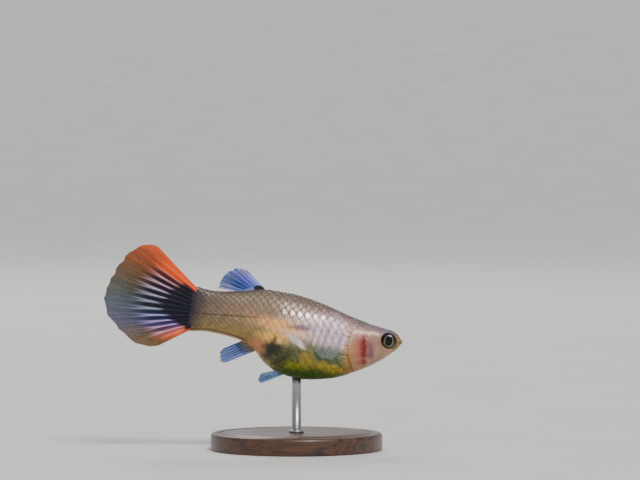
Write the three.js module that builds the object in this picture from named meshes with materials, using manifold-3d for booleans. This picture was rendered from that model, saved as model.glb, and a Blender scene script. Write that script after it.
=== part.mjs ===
// A female fancy guppy, life size, swimming slightly nose down, as a still museum model
// on a round base with one rod. Millimetres, +Z up, nose towards +X.
// The origin is the centre of the base's underside.
//
// The fish is drawn in its own straight frame first: s runs from the snout tip towards the
// tail, z is up and y is the fish's left. The whole fish is then tipped and set on its rod.
import * as THREE from "three";
import { mergeVertices } from "three/addons/utils/BufferGeometryUtils.js";
import Module from "manifold-3d";

const wasm = await Module();
wasm.setup();
const { Manifold, Mesh: ManifoldMesh } = wasm;

// Driving sizes of the fish
const gap = 0.28; // kept between touching pieces
const noseDown = THREE.MathUtils.degToRad(9.3);
const bodyLength = 37; // snout tip to the end of the peduncle
const bodyRings = 40;
const bodySides = 36;

// Driving sizes of the stand
const baseRadius = 15;
const baseThickness = 3;
const baseBevel = 0.6;
const rodRadius = 0.8;
const rodAtS = 17; // the rod meets the belly under the fish's centre of mass
const bellyHeight = 12.5; // of the belly over the floor, at the rod
const rodSink = 2;

// A smooth curve through [place, value] pairs that never overshoots them.
function profile(points) {
  const n = points.length;
  const steps = points.slice(1).map((p, i) => (p[1] - points[i][1]) / (p[0] - points[i][0]));
  const slopes = points.map((p, i) => {
    if (i === 0) return steps[0];
    if (i === n - 1) return steps[n - 2];
    const [before, after] = [steps[i - 1], steps[i]];
    return before * after <= 0 ? 0 : (2 * before * after) / (before + after);
  });
  return (x) => {
    const at = THREE.MathUtils.clamp(x, points[0][0], points[n - 1][0]);
    let i = 0;
    while (i < n - 2 && at > points[i + 1][0]) i += 1;
    const width = points[i + 1][0] - points[i][0];
    const t = (at - points[i][0]) / width;
    const rise = points[i + 1][1] - points[i][1];
    const a = slopes[i] * width - rise;
    const b = rise - slopes[i + 1] * width;
    return points[i][1] + t * rise + t * (1 - t) * ((1 - t) * a + t * b);
  };
}

// The body's profiles along s
const backLine = profile([
  [0, 0.4], [0.25, 0.78], [0.9, 1.3], [2.3, 1.88], [4, 2.12], [8.8, 3.02],
  [15.2, 4.68], [20, 5.38], [24, 5.45], [29.5, 4.35], [34, 3.72], [37, 4.0],
]);
const bellyLine = profile([
  [0, -0.15], [0.2, -0.72], [1.4, -2.1], [3, -3.6], [6.3, -5.85], [11.3, -8.15],
  [16.5, -9.05], [20, -8.7], [23, -7.25], [26, -4.65], [29, -3.86], [33.5, -3.55], [37, -4.0],
]);
const halfWidth = profile([
  [0, 0.85], [0.25, 1.25], [0.9, 1.78], [2.2, 2.35], [4, 2.72], [8, 3.3],
  [12, 3.9], [17, 4.3], [21, 3.95], [25, 2.85], [29, 2.05], [33, 1.45], [37, 0.85],
]);
const widestAt = profile([
  [0, 0.15], [2.2, -0.15], [6, -1.4], [12, -2.3], [18, -2.4], [24, -0.9], [30, 0], [37, 0],
]);
// Below 1 the section is squarer than an ellipse: the head is flat on top between the eyes.
const roundness = profile([[0, 0.86], [3, 0.8], [10, 0.95], [30, 1], [37, 1]]);

// Driving sizes of the head
const eye = { s: 2.22, z: 0.1, radius: 1.36, halfThickness: 0.95, proud: 0.22, pupil: 0.62 };
const orbitRim = { radius: 1.78, width: 0.24, height: 0.12 };
const gillBulge = { s: 7.2, z: -2.4, length: 2.4, height: 3, out: 0.16 };

// How far the skin swells out over the orbit's rim and the gill cover.
function swelling(s, z) {
  const fromEye = Math.hypot(s - eye.s, z - eye.z);
  const rim = orbitRim.height * Math.exp(-(((fromEye - orbitRim.radius) / orbitRim.width) ** 2));
  const over = ((s - gillBulge.s) / gillBulge.length) ** 2 + ((z - gillBulge.z) / gillBulge.height) ** 2;
  return rim + gillBulge.out * Math.exp(-(over ** 2));
}

// A point [s, y, z] of the body's section at s, turned angle from the top, offset outwards.
function bodyPoint(s, angle, offset = 0) {
  const power = roundness(s);
  const c = Math.cos(angle);
  const up = Math.sign(c) * Math.abs(c) ** power;
  const side = Math.sign(Math.sin(angle)) * Math.abs(Math.sin(angle)) ** power;
  const middle = widestAt(s);
  const reach = c > 0 ? backLine(s) - middle : middle - bellyLine(s);
  const z = middle + up * (reach + offset);
  const out = halfWidth(s) + offset + swelling(s, z) * Math.abs(side);
  return [s, side * out, z];
}

// Half the body's width at a height, without the swelling.
function widthAt(s, z) {
  const middle = widestAt(s);
  const reach = z > middle ? backLine(s) - middle : middle - bellyLine(s);
  const up = Math.min(1, Math.abs(z - middle) / reach);
  const power = roundness(s);
  const c = up ** (1 / power);
  return halfWidth(s) * Math.sqrt(Math.max(0, 1 - c * c)) ** power;
}

// Fish coordinates are [s, y, z], and the fish's own group has x = -s.
const inGroup = ([s, y, z]) => [-s, y, z];

function geometryOf(positions, triangles) {
  return new THREE.BufferGeometry()
    .setAttribute("position", new THREE.Float32BufferAttribute(positions.flat(), 3))
    .setIndex(triangles.flat());
}

function solidOf(geometry) {
  const plain = geometry.clone();
  plain.deleteAttribute("normal");
  plain.deleteAttribute("uv");
  const merged = mergeVertices(plain, 1e-4);
  const made = new Manifold(
    new ManifoldMesh({
      numProp: 3,
      vertProperties: new Float32Array(merged.attributes.position.array),
      triVerts: new Uint32Array(merged.index.array),
    }),
  );
  if (made.volume() > 0) return made;
  const index = merged.index.array;
  for (let i = 0; i < index.length; i += 3) [index[i + 1], index[i + 2]] = [index[i + 2], index[i + 1]];
  return solidOf(merged);
}

// The largest closed surface of a solid, so that a cut leaves no scrap.
function largest(solid) {
  return solid.decompose().sort((a, b) => b.volume() - a.volume())[0];
}

// The slivers that cuts leave, thinner than this, are merged away.
const sliver = 0.018;

function geometryFrom(solid) {
  const mesh = solid.simplify(sliver).getMesh();
  const geometry = new THREE.BufferGeometry()
    .setAttribute("position", new THREE.BufferAttribute(mesh.vertProperties, 3))
    .setIndex(new THREE.BufferAttribute(mesh.triVerts, 1));
  geometry.computeVertexNormals();
  return geometry;
}

// A closed loft of the body, offset outwards, or inwards when offset is negative.
function bodySolid(offset) {
  const positions = [];
  const triangles = [];
  for (let i = 0; i <= bodyRings; i += 1) {
    const t = i / bodyRings;
    const s = bodyLength * t ** 1.35; // rings are closer together at the head
    for (let j = 0; j < bodySides; j += 1) {
      positions.push(inGroup(bodyPoint(s, (2 * Math.PI * j) / bodySides, offset)));
    }
  }
  const end = offset > 0 ? offset : 0;
  positions.push(inGroup([-end, 0, (backLine(0) + bellyLine(0)) / 2]));
  positions.push(inGroup([bodyLength + end, 0, 0]));
  const snoutCentre = positions.length - 2;
  const tailCentre = positions.length - 1;
  const lastRing = bodyRings * bodySides;
  for (let j = 0; j < bodySides; j += 1) {
    const next = (j + 1) % bodySides;
    triangles.push([snoutCentre, j, next], [tailCentre, lastRing + next, lastRing + j]);
    for (let i = 0; i < bodyRings; i += 1) {
      const a = i * bodySides;
      const b = a + bodySides;
      triangles.push([a + j, b + j, b + next], [a + j, b + next, a + next]);
    }
  }
  return solidOf(geometryOf(positions, triangles));
}

// A prism across the fish from an outline of [s, z] points, from y = from to y = to.
function prismAcross(outline, from, to) {
  const shape = new THREE.Shape(outline.map(([s, z]) => new THREE.Vector2(-s, z)));
  const geometry = new THREE.ExtrudeGeometry(shape, { depth: to - from, bevelEnabled: false });
  geometry.rotateX(Math.PI / 2);
  geometry.translate(0, to, 0);
  return solidOf(geometry);
}

function boxBetween([s0, y0, z0], [s1, y1, z1]) {
  const geometry = new THREE.BoxGeometry(s1 - s0, y1 - y0, z1 - z0);
  geometry.translate(-(s0 + s1) / 2, (y0 + y1) / 2, (z0 + z1) / 2);
  return solidOf(geometry);
}

// The gill opening, seen from the side: the seam between head and trunk, from nape to throat.
const gillOpening = profile([[-8.5, 6.4], [-6, 7.7], [-3.5, 8.9], [-1.2, 9.2], [1, 8.7], [4, 7.9]]);
const gillOpeningTop = 4;
const gillOpeningBottom = -8.5;
const gillOpeningSteps = 18;

function gillOpeningLine(shift) {
  return Array.from({ length: gillOpeningSteps + 1 }, (_, i) => {
    const z = THREE.MathUtils.lerp(gillOpeningBottom, gillOpeningTop, i / gillOpeningSteps);
    return [gillOpening(z) + shift, z];
  });
}

const farAway = 12; // past the fish on any side
const frontRegion = prismAcross(
  [...gillOpeningLine(-gap / 2), [-farAway, gillOpeningTop], [-farAway, gillOpeningBottom]],
  -farAway,
  farAway,
);
const rearRegion = prismAcross(
  [
    ...gillOpeningLine(gap / 2),
    [gillOpening(gillOpeningTop) + gap / 2, farAway],
    [bodyLength + farAway, farAway],
    [bodyLength + farAway, -farAway],
    [gillOpening(gillOpeningBottom) + gap / 2, -farAway],
  ],
  -farAway,
  farAway,
);

const wholeBody = bodySolid(0);
const clearOfBody = bodySolid(gap); // what grows from the body is cut back by this
const frontOfFish = wholeBody.intersect(frontRegion);
const peduncleAt = 28.4; // where the peduncle begins, behind the dorsal and anal fins
const beforePeduncle = boxBetween([-farAway, -farAway, -farAway], [peduncleAt - gap / 2, farAway, farAway]);
const afterTrunk = boxBetween(
  [peduncleAt + gap / 2, -farAway, -farAway],
  [bodyLength + farAway, farAway, farAway],
);
const trunk = largest(wholeBody.intersect(rearRegion).intersect(beforePeduncle));
const peduncle = largest(wholeBody.intersect(afterTrunk));

// The gill cover, as a plate let into each side of the head, ending at the gill opening.
const gillCover = { frontS: 5.5, topZ: 0.35, bottomZ: -5.2, thickness: 0.6, corner: 1.1 };

function gillCoverOutline(grow) {
  const { frontS, topZ, bottomZ, corner } = gillCover;
  const behind = 11;
  const front = frontS - grow;
  const round = corner + grow;
  const arcSteps = 6;
  const arc = (centreS, centreZ, from, to) =>
    Array.from({ length: arcSteps + 1 }, (_, i) => {
      const angle = THREE.MathUtils.lerp(from, to, i / arcSteps);
      return [centreS - round * Math.cos(angle), centreZ + round * Math.sin(angle)];
    });
  return [
    [behind, topZ + grow],
    ...arc(front + round, topZ + grow - round, Math.PI / 2, 0),
    ...arc(front + round, bottomZ - grow + round, 0, -Math.PI / 2),
    [behind, bottomZ - grow],
  ];
}

const underCover = bodySolid(-gillCover.thickness);
const underRecess = bodySolid(-gillCover.thickness - gap);
const middleGap = 0.5; // the covers and recesses start this far from the fish's middle

function gillCoverSolid() {
  const outline = prismAcross(gillCoverOutline(0), middleGap, farAway);
  return largest(frontOfFish.intersect(outline).subtract(underCover));
}

function gillRecess(side) {
  const [from, to] = side > 0 ? [middleGap, farAway] : [-farAway, -middleGap];
  return prismAcross(gillCoverOutline(gap), from, to).subtract(underRecess);
}

// An eye is a lens-shaped solid of revolution about the fish's y axis, with a raised pupil.
const eyeY = widthAt(eye.s, eye.z) + eye.proud - eye.halfThickness;
const eyeSegments = 18;
const pupilStep = 0.06;

function eyeProfile(radius, halfThickness, step) {
  const steps = 10;
  const points = [];
  for (let i = 0; i <= steps; i += 1) {
    const angle = (Math.PI * i) / steps - Math.PI / 2;
    const across = radius * Math.cos(angle);
    const along = halfThickness * Math.sin(angle);
    const inPupil = along > 0 && across < eye.pupil * 1.02;
    points.push(new THREE.Vector2(i === 0 || i === steps ? 0 : across, along + (inPupil ? step : 0)));
  }
  return points;
}

function eyeSolid(side, grow, step) {
  const outline = eyeProfile(eye.radius + grow, eye.halfThickness + grow, step);
  const geometry = new THREE.LatheGeometry(outline, eyeSegments);
  if (side < 0) geometry.rotateX(Math.PI);
  geometry.translate(-eye.s, side * eyeY, eye.z);
  return solidOf(geometry);
}

// A lip is a tube round the front of the snout.
const lips = {
  radius: 0.24,
  reach: 1.2,
  upperZ: 0.42,
  lowerZ: -0.12,
  tipS: 0.14,
  sweep: 0.75,
  drop: 0.3,
  lowerForward: 0.06, // the lower lip stands a little ahead of the upper one
};
const lipSides = 8;
const lipSteps = 14;

function lipSolid(z, forward) {
  const points = Array.from({ length: 7 }, (_, i) => {
    const across = (i - 3) / 3;
    const back = lips.sweep * across * across;
    return new THREE.Vector3(-(lips.tipS - forward + back), lips.reach * across, z - lips.drop * across * across);
  });
  const circle = new THREE.Shape(
    Array.from({ length: lipSides }, (_, i) => {
      const angle = (2 * Math.PI * i) / lipSides;
      return new THREE.Vector2(lips.radius * Math.cos(angle), lips.radius * Math.sin(angle));
    }),
  );
  const path = new THREE.CatmullRomCurve3(points);
  return solidOf(new THREE.ExtrudeGeometry(circle, { steps: lipSteps, extrudePath: path, bevelEnabled: false }));
}

// The mouth's line is a thin slit between the lips.
const mouthSlit = { frontZ: 0.2, backS: 0.72, backZ: -0.02, height: 0.14 };
const nostril = { s: 0.95, y: 0.72, radius: 0.17, depth: 0.35, sink: 0.12 };

function nostrilSolid(side) {
  const geometry = new THREE.CylinderGeometry(nostril.radius, nostril.radius * 0.6, nostril.depth * 2, 10);
  geometry.rotateX(Math.PI / 2);
  geometry.translate(-nostril.s, side * nostril.y, backLine(nostril.s) - nostril.sink);
  return solidOf(geometry);
}

function headSolid() {
  const { frontZ, backS, backZ, height } = mouthSlit;
  const slit = prismAcross(
    [[-1, frontZ + height], [backS, backZ + height / 2], [backS, backZ - height / 2], [-1, frontZ - height]],
    -farAway,
    farAway,
  );
  let head = frontOfFish.add(lipSolid(lips.upperZ, 0)).add(lipSolid(lips.lowerZ, lips.lowerForward));
  head = head.subtract(slit);
  for (const side of [-1, 1]) {
    head = head.subtract(eyeSolid(side, gap, 0)).subtract(nostrilSolid(side)).subtract(gillRecess(side));
  }
  return largest(head);
}

// Fins. Each is one membrane with its rays raised in both of its faces. Four columns of the
// grid carry each ray, and past the fork the ridge passes from the ray's middle to its sides.
const finThickness = { membrane: 0.5, ray: 0.13, edge: 0.26 };

function finSolid({ rays, rows, root, tip, bend = () => 0, rootThickness = 0.9, fork = 0.5 }) {
  const columns = (rays - 1) * 4;
  const centre = (r, t) => {
    const from = new THREE.Vector3(...root(r));
    const to = new THREE.Vector3(...tip(r));
    const at = from.lerp(to, t);
    at.y += bend(r, t);
    return at;
  };
  const faceNormal = (r, t) => {
    const step = 0.01;
    const along = centre(r, Math.min(1, t + step)).sub(centre(r, Math.max(0, t - step)));
    const across = centre(Math.min(1, r + step), t).sub(centre(Math.max(0, r - step), t));
    return along.cross(across).normalize();
  };
  const ridge = (column, t) => {
    const forked = THREE.MathUtils.smoothstep(t, fork - 0.1, fork + 0.15);
    const share = [
      THREE.MathUtils.lerp(1, 0.3, forked),
      THREE.MathUtils.lerp(0.35, 1, forked),
      0,
      THREE.MathUtils.lerp(0.35, 1, forked),
    ][column % 4];
    return finThickness.ray * share * (1 - 0.6 * t);
  };
  const positions = [];
  for (const face of [1, -1]) {
    for (let i = 0; i <= rows; i += 1) {
      const t = i / rows;
      for (let j = 0; j <= columns; j += 1) {
        const r = j / columns;
        const rim = Math.min(1, Math.min(r, 1 - r) * columns);
        const taper = THREE.MathUtils.smoothstep(t, 0, 0.3);
        const plain = THREE.MathUtils.lerp(rootThickness, finThickness.membrane, taper);
        const thinned = THREE.MathUtils.lerp(plain, finThickness.edge, THREE.MathUtils.smoothstep(t, 0.75, 1));
        const half = (thinned / 2) * THREE.MathUtils.lerp(0.6, 1, rim) + ridge(j, t);
        const at = centre(r, t).addScaledVector(faceNormal(r, t), face * half);
        positions.push(inGroup(at.toArray()));
      }
    }
  }
  const triangles = [];
  const wide = columns + 1;
  const faceSize = (rows + 1) * wide;
  for (let i = 0; i < rows; i += 1) {
    for (let j = 0; j < columns; j += 1) {
      const a = i * wide + j;
      const [b, c, d] = [a + 1, a + wide + 1, a + wide];
      triangles.push([a, b, c], [a, c, d]);
      triangles.push([a + faceSize, c + faceSize, b + faceSize], [a + faceSize, d + faceSize, c + faceSize]);
    }
  }
  const around = [];
  for (let j = 0; j < columns; j += 1) around.push(j);
  for (let i = 0; i < rows; i += 1) around.push(i * wide + columns);
  for (let j = columns; j > 0; j -= 1) around.push(rows * wide + j);
  for (let i = rows; i > 0; i -= 1) around.push(i * wide);
  around.forEach((a, i) => {
    const b = around[(i + 1) % around.length];
    triangles.push([a, a + faceSize, b + faceSize], [a, b + faceSize, b]);
  });
  return largest(solidOf(geometryOf(positions, triangles)).subtract(clearOfBody));
}

const rootSink = 0.6; // how far a fin's root starts inside the body, before it is cut back
const leanDorsal = 0.35; // how far the tips of the dorsal and anal fins lean to a side
const leanAnal = -0.3;

// The tail fin is a fan about a point inside the peduncle. Its lower lobe is the shorter.
const fan = { centreS: 31.8, topAngle: 37.4, bottomAngle: -36.5 };
const fanReach = profile([
  [0, 17.4], [0.12, 18.7], [0.3, 19.8], [0.5, 20.6], [0.62, 20.2], [0.72, 18.5], [0.86, 16.3], [1, 13.7],
]);
const fanWave = { far: 1.3, phase: 0.4, turn: 2.6 }; // its sideways wave, in mm and radians
const fanRoot = { s: bodyLength - 0.3, topZ: 3.75, bottomZ: -3.75 };

function tailFin() {
  const direction = (r) => {
    const angle = THREE.MathUtils.degToRad(THREE.MathUtils.lerp(fan.topAngle, fan.bottomAngle, r));
    return [Math.cos(angle), Math.sin(angle)];
  };
  return finSolid({
    rays: 15,
    rows: 9,
    root: (r) => [fanRoot.s, 0, THREE.MathUtils.lerp(fanRoot.topZ, fanRoot.bottomZ, r)],
    tip: (r) => {
      const [c, d] = direction(r);
      return [fan.centreS + fanReach(r) * c, 0, fanReach(r) * d];
    },
    bend: (r, t) => fanWave.far * t * t * Math.sin(fanWave.phase + fanWave.turn * r),
    rootThickness: 1.5,
    fork: 0.45,
  });
}

const dorsal = {
  frontS: 24.3,
  rearS: 28,
  tipS: profile([[0, 28.8], [0.3, 30.4], [0.6, 32.1], [1, 33.3]]),
  tipZ: profile([[0, 8.4], [0.3, 8.15], [0.6, 7.1], [1, 4.75]]),
};

function dorsalFin() {
  return finSolid({
    rays: 7,
    rows: 6,
    root: (r) => {
      const s = THREE.MathUtils.lerp(dorsal.frontS, dorsal.rearS, r);
      return [s, 0, backLine(s) - rootSink];
    },
    tip: (r) => [dorsal.tipS(r), 0, dorsal.tipZ(r)],
    bend: (r, t) => leanDorsal * t * t,
  });
}

const anal = {
  frontS: 24.6,
  rearS: 27,
  tipS: profile([[0, 30.1], [0.5, 30.7], [1, 30.9]]),
  tipZ: profile([[0, -8.65], [0.5, -7.8], [1, -6.2]]),
};

function analFin() {
  return finSolid({
    rays: 8,
    rows: 6,
    root: (r) => {
      const s = THREE.MathUtils.lerp(anal.frontS, anal.rearS, r);
      return [s, 0, bellyLine(s) + rootSink];
    },
    tip: (r) => [anal.tipS(r), 0, anal.tipZ(r)],
    bend: (r, t) => leanAnal * t * t,
  });
}

// Of the paired fins the left one is drawn, and the right one is its mirror image.
const pelvic = {
  frontS: 18.9,
  rearS: 20.3,
  y: 0.75,
  tipY: 1.9,
  splay: 0.5, // how much further out the rear ray stands than the front one
  tipS: [23.1, 23.7],
  tipZ: [-10.95, -9.5],
};

function pelvicFin() {
  return finSolid({
    rays: 6,
    rows: 5,
    root: (r) => {
      const s = THREE.MathUtils.lerp(pelvic.frontS, pelvic.rearS, r);
      return [s, pelvic.y + pelvic.splay * r, bellyLine(s) + rootSink];
    },
    tip: (r) => [
      THREE.MathUtils.lerp(...pelvic.tipS, r),
      pelvic.tipY + pelvic.splay * r,
      THREE.MathUtils.lerp(...pelvic.tipZ, r),
    ],
    rootThickness: 0.7,
    fork: 2,
  });
}

const pectoral = {
  rootS: [9.9, 10.1],
  rootZ: [-0.3, -1.9],
  tipS: profile([[0, 15.2], [0.35, 15], [0.7, 13.3], [1, 11.3]]),
  tipZ: profile([[0, -1.5], [0.35, -3.1], [0.7, -4.5], [1, -4.7]]),
  lift: 1.7, // of the tips, out from the flank
  bow: 0.45, // outwards, halfway along the rays
};

function pectoralFin() {
  const onFlank = (s, z, out) => [s, widthAt(s, z) + out, z];
  return finSolid({
    rays: 10,
    rows: 5,
    root: (r) => {
      const s = THREE.MathUtils.lerp(...pectoral.rootS, r);
      const z = THREE.MathUtils.lerp(...pectoral.rootZ, r);
      return onFlank(s, z, -rootSink);
    },
    tip: (r) => onFlank(pectoral.tipS(r), pectoral.tipZ(r), pectoral.lift),
    bend: (r, t) => pectoral.bow * Math.sin(Math.PI * t),
    rootThickness: 0.7,
    fork: 0.55,
  });
}

// The fish's place over its stand
const poseTurn = new THREE.Matrix4().makeRotationY(noseDown);
const rodTopInFish = new THREE.Vector3(-rodAtS, 0, bellyLine(rodAtS)).applyMatrix4(poseTurn);
const fishPlace = new THREE.Vector3(-rodTopInFish.x, 0, bellyHeight - rodTopInFish.z);

function rodSolid() {
  const bottom = baseThickness + gap;
  const top = bellyHeight + rodSink;
  const geometry = new THREE.CylinderGeometry(rodRadius, rodRadius, top - bottom, 20);
  geometry.rotateX(Math.PI / 2);
  geometry.translate(0, 0, (top + bottom) / 2);
  const placed = geometryFrom(clearOfBody)
    .applyMatrix4(poseTurn)
    .translate(fishPlace.x, fishPlace.y, fishPlace.z);
  return solidOf(geometry).subtract(solidOf(placed));
}

function baseGeometry() {
  const outline = [
    [0, 0],
    [baseRadius - baseBevel / 2, 0],
    [baseRadius, baseBevel / 2],
    [baseRadius, baseThickness - baseBevel],
    [baseRadius - baseBevel * 0.3, baseThickness - baseBevel * 0.3],
    [baseRadius - baseBevel, baseThickness],
    [0, baseThickness],
  ].map(([radius, height]) => new THREE.Vector2(radius, height));
  return new THREE.LatheGeometry(outline, 40).rotateX(Math.PI / 2);
}

// Materials, by what each piece is made of
function finish(colour, roughness, metalness = 0) {
  return new THREE.MeshStandardMaterial({ color: colour, roughness, metalness });
}
const skin = finish(0xa48f73, 0.42, 0.15);
const bellySkin = finish(0x9d8f62, 0.4, 0.1);
const gillPlate = finish(0xb48a74, 0.4, 0.1);
const tailMembrane = finish(0x8a6a58, 0.5);
const blueMembrane = finish(0x6a72b8, 0.5);
const clearMembrane = finish(0xb8b4c0, 0.45);
const eyeGlass = finish(0xb9bcc0, 0.15, 0.4);
const steel = finish(0xb4b6b8, 0.3, 1);
const walnut = finish(0x4a3224, 0.45);

const fish = new THREE.Group();
fish.rotation.y = noseDown;
fish.position.copy(fishPlace);
const stand = new THREE.Group();

function addPiece(group, name, geometry, material) {
  const mesh = new THREE.Mesh(geometry, material);
  mesh.name = name;
  group.add(mesh);
}

addPiece(fish, "head", geometryFrom(headSolid()), skin);
addPiece(fish, "torso", geometryFrom(trunk), bellySkin);
addPiece(fish, "tail_peduncle", geometryFrom(peduncle), skin);
addPiece(fish, "fin_caudal", geometryFrom(tailFin()), tailMembrane);
addPiece(fish, "fin_dorsal", geometryFrom(dorsalFin()), blueMembrane);
addPiece(fish, "fin_anal", geometryFrom(analFin()), blueMembrane);

function addPair(name, left, material) {
  addPiece(fish, `${name}_l`, geometryFrom(left), material);
  addPiece(fish, `${name}_r`, geometryFrom(left.mirror([0, 1, 0])), material);
}
addPair("eye", eyeSolid(1, 0, pupilStep), eyeGlass);
addPair("gill_cover", gillCoverSolid(), gillPlate);
addPair("fin_pectoral", pectoralFin(), clearMembrane);
addPair("fin_pelvic", pelvicFin(), blueMembrane);
addPiece(stand, "stand_rod", geometryFrom(rodSolid()), steel);
addPiece(stand, "stand_base", baseGeometry(), walnut);

const guppy = new THREE.Group();
guppy.add(fish, stand);

export default guppy;
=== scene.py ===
# A female fancy guppy over a round stand: its skin, scales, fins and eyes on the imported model.
# The fish is drawn in its own frame, in mm: s from the snout to the tail, y to its left, z up.
import math
import random

import bpy
import numpy as np
from mathutils import Matrix, Vector


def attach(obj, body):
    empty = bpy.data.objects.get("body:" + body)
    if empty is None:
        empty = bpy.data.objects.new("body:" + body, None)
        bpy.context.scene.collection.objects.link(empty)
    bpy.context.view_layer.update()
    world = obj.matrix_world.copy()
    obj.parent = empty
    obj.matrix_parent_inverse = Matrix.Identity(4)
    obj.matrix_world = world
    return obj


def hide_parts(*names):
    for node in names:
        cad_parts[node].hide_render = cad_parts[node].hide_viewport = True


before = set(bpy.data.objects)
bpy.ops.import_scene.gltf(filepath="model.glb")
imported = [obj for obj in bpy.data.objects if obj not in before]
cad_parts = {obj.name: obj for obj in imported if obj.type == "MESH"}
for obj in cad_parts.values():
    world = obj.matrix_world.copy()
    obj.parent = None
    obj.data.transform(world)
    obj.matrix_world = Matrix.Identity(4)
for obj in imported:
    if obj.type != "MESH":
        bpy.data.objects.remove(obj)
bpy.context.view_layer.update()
print("packed model loaded:", len(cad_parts), "nodes")

mm = 0.001
bodyEnd = 37.0  # s at the end of the peduncle


def profile(points):
    # a smooth curve through [place, value] pairs that never overshoots them
    steps = [(q[1] - p[1]) / (q[0] - p[0]) for p, q in zip(points, points[1:])]
    slopes = [steps[0]]
    for before, after in zip(steps, steps[1:]):
        slopes.append(0.0 if before * after <= 0 else 2 * before * after / (before + after))
    slopes.append(steps[-1])

    def curve(x):
        at = min(max(x, points[0][0]), points[-1][0])
        i = 0
        while i < len(points) - 2 and at > points[i + 1][0]:
            i += 1
        width = points[i + 1][0] - points[i][0]
        t = (at - points[i][0]) / width
        rise = points[i + 1][1] - points[i][1]
        a = slopes[i] * width - rise
        b = rise - slopes[i + 1] * width
        return points[i][1] + t * rise + t * (1 - t) * ((1 - t) * a + t * b)

    return curve


def mix(a, b, t):
    return a + (b - a) * t


def smooth(low, high, x):
    t = min(max((x - low) / (high - low), 0.0), 1.0)
    return t * t * (3 - 2 * t)


def bump(x, width):
    return math.exp(-((x / width) ** 2))


# The body's curves, the same as in the solids
backLine = profile([
    [0, 0.4], [0.25, 0.78], [0.9, 1.3], [2.3, 1.88], [4, 2.12], [8.8, 3.02],
    [15.2, 4.68], [20, 5.38], [24, 5.45], [29.5, 4.35], [34, 3.72], [37, 4.0],
])
bellyLine = profile([
    [0, -0.15], [0.2, -0.72], [1.4, -2.1], [3, -3.6], [6.3, -5.85], [11.3, -8.15],
    [16.5, -9.05], [20, -8.7], [23, -7.25], [26, -4.65], [29, -3.86], [33.5, -3.55], [37, -4.0],
])
halfWidth = profile([
    [0, 0.85], [0.25, 1.25], [0.9, 1.78], [2.2, 2.35], [4, 2.72], [8, 3.3],
    [12, 3.9], [17, 4.3], [21, 3.95], [25, 2.85], [29, 2.05], [33, 1.45], [37, 0.85],
])
widestAt = profile([
    [0, 0.15], [2.2, -0.15], [6, -1.4], [12, -2.3], [18, -2.4], [24, -0.9], [30, 0], [37, 0],
])
roundness = profile([[0, 0.86], [3, 0.8], [10, 0.95], [30, 1], [37, 1]])
gillOpening = profile([[-8.5, 6.4], [-6, 7.7], [-3.5, 8.9], [-1.2, 9.2], [1, 8.7], [4, 7.9]])

pose = {"noseDown": math.radians(9.3), "rodAt": 17.0, "bellyHeight": 12.5}


def fishPlace():
    # where the snout's tip lies over the stand's middle, in mm
    turn = Matrix.Rotation(pose["noseDown"], 3, "Y")
    rodTop = turn @ Vector((-pose["rodAt"], 0, bellyLine(pose["rodAt"])))
    return Vector((-rodTop.x, 0, pose["bellyHeight"] - rodTop.z))


snoutPlace = fishPlace()
cosNose, sinNose = math.cos(pose["noseDown"]), math.sin(pose["noseDown"])


def inWorld(points):
    # fish points (s, y, z) in mm, as an array, to the model's frame in metres
    p = np.asarray(points, float)
    x = -p[:, 0] * cosNose + p[:, 2] * sinNose + snoutPlace.x
    z = p[:, 0] * sinNose + p[:, 2] * cosNose + snoutPlace.z
    return np.stack([x, p[:, 1], z], axis=1) * mm


eye = {"s": 2.22, "z": 0.1, "radius": 1.36, "halfThickness": 0.95, "proud": 0.22}
orbit = {"rimRadius": 1.64, "rimWidth": 0.2, "rimHeight": 0.11, "hole": 1.24, "edge": 1.46}
gillBulge = {"s": 7.2, "z": -2.4, "length": 2.4, "height": 3.0, "out": 0.16}


def swelling(s, z):
    over = ((s - gillBulge["s"]) / gillBulge["length"]) ** 2
    over += ((z - gillBulge["z"]) / gillBulge["height"]) ** 2
    return gillBulge["out"] * math.exp(-(over**2))


def bodyPoint(s, angle, offset=0.0):
    # angle 0 is the back, a quarter turn is the left flank
    power = roundness(s)
    c, d = math.cos(angle), math.sin(angle)
    up = math.copysign(abs(c) ** power, c)
    side = math.copysign(abs(d) ** power, d)
    middle = widestAt(s)
    reach = backLine(s) - middle if c > 0 else middle - bellyLine(s)
    z = middle + up * (reach + offset)
    return s, side * (halfWidth(s) + offset + swelling(s, z) * abs(side)), z


def widthAt(s, z):
    middle = widestAt(s)
    reach = backLine(s) - middle if z > middle else middle - bellyLine(s)
    power = roundness(s)
    c = min(1.0, abs(z - middle) / reach) ** (1 / power)
    return halfWidth(s) * math.sqrt(max(0.0, 1 - c * c)) ** power


# Mesh helpers

def meshPiece(name, points, faces, places=None):
    mesh = bpy.data.meshes.new(name)
    mesh.from_pydata([tuple(p) for p in points], [], faces)
    mesh.validate()
    mesh.update()
    mesh.polygons.foreach_set("use_smooth", [True] * len(mesh.polygons))
    piece = bpy.data.objects.new(name, mesh)
    bpy.context.scene.collection.objects.link(piece)
    for key, values in (places or {}).items():
        addAttribute(mesh, key, values)
    return piece


def addAttribute(mesh, name, values):
    values = np.asarray(values, np.float32)
    kind = "FLOAT_VECTOR" if values.ndim == 2 else "FLOAT"
    attribute = mesh.attributes.new(name, kind, "POINT")
    attribute.data.foreach_set("vector" if values.ndim == 2 else "value", values.ravel())


def finishPiece(piece, material, slot, *nodes):
    piece.data.materials.append(material)
    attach(piece, "root")
    if nodes:
        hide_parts(*nodes)


def circle(radius, j, around):
    turn = 2 * math.pi * j / around
    return radius * math.cos(turn), radius * math.sin(turn)


def tubeFaces(rings, around, turned=False):
    # quads between rings that hold the same number of points
    faces = []
    for i in range(rings - 1):
        a, b = i * around, (i + 1) * around
        for j in range(around):
            k = (j + 1) % around
            faces.append((a + j, a + k, b + k, b + j) if turned else (a + j, b + j, b + k, a + k))
    return faces


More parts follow.
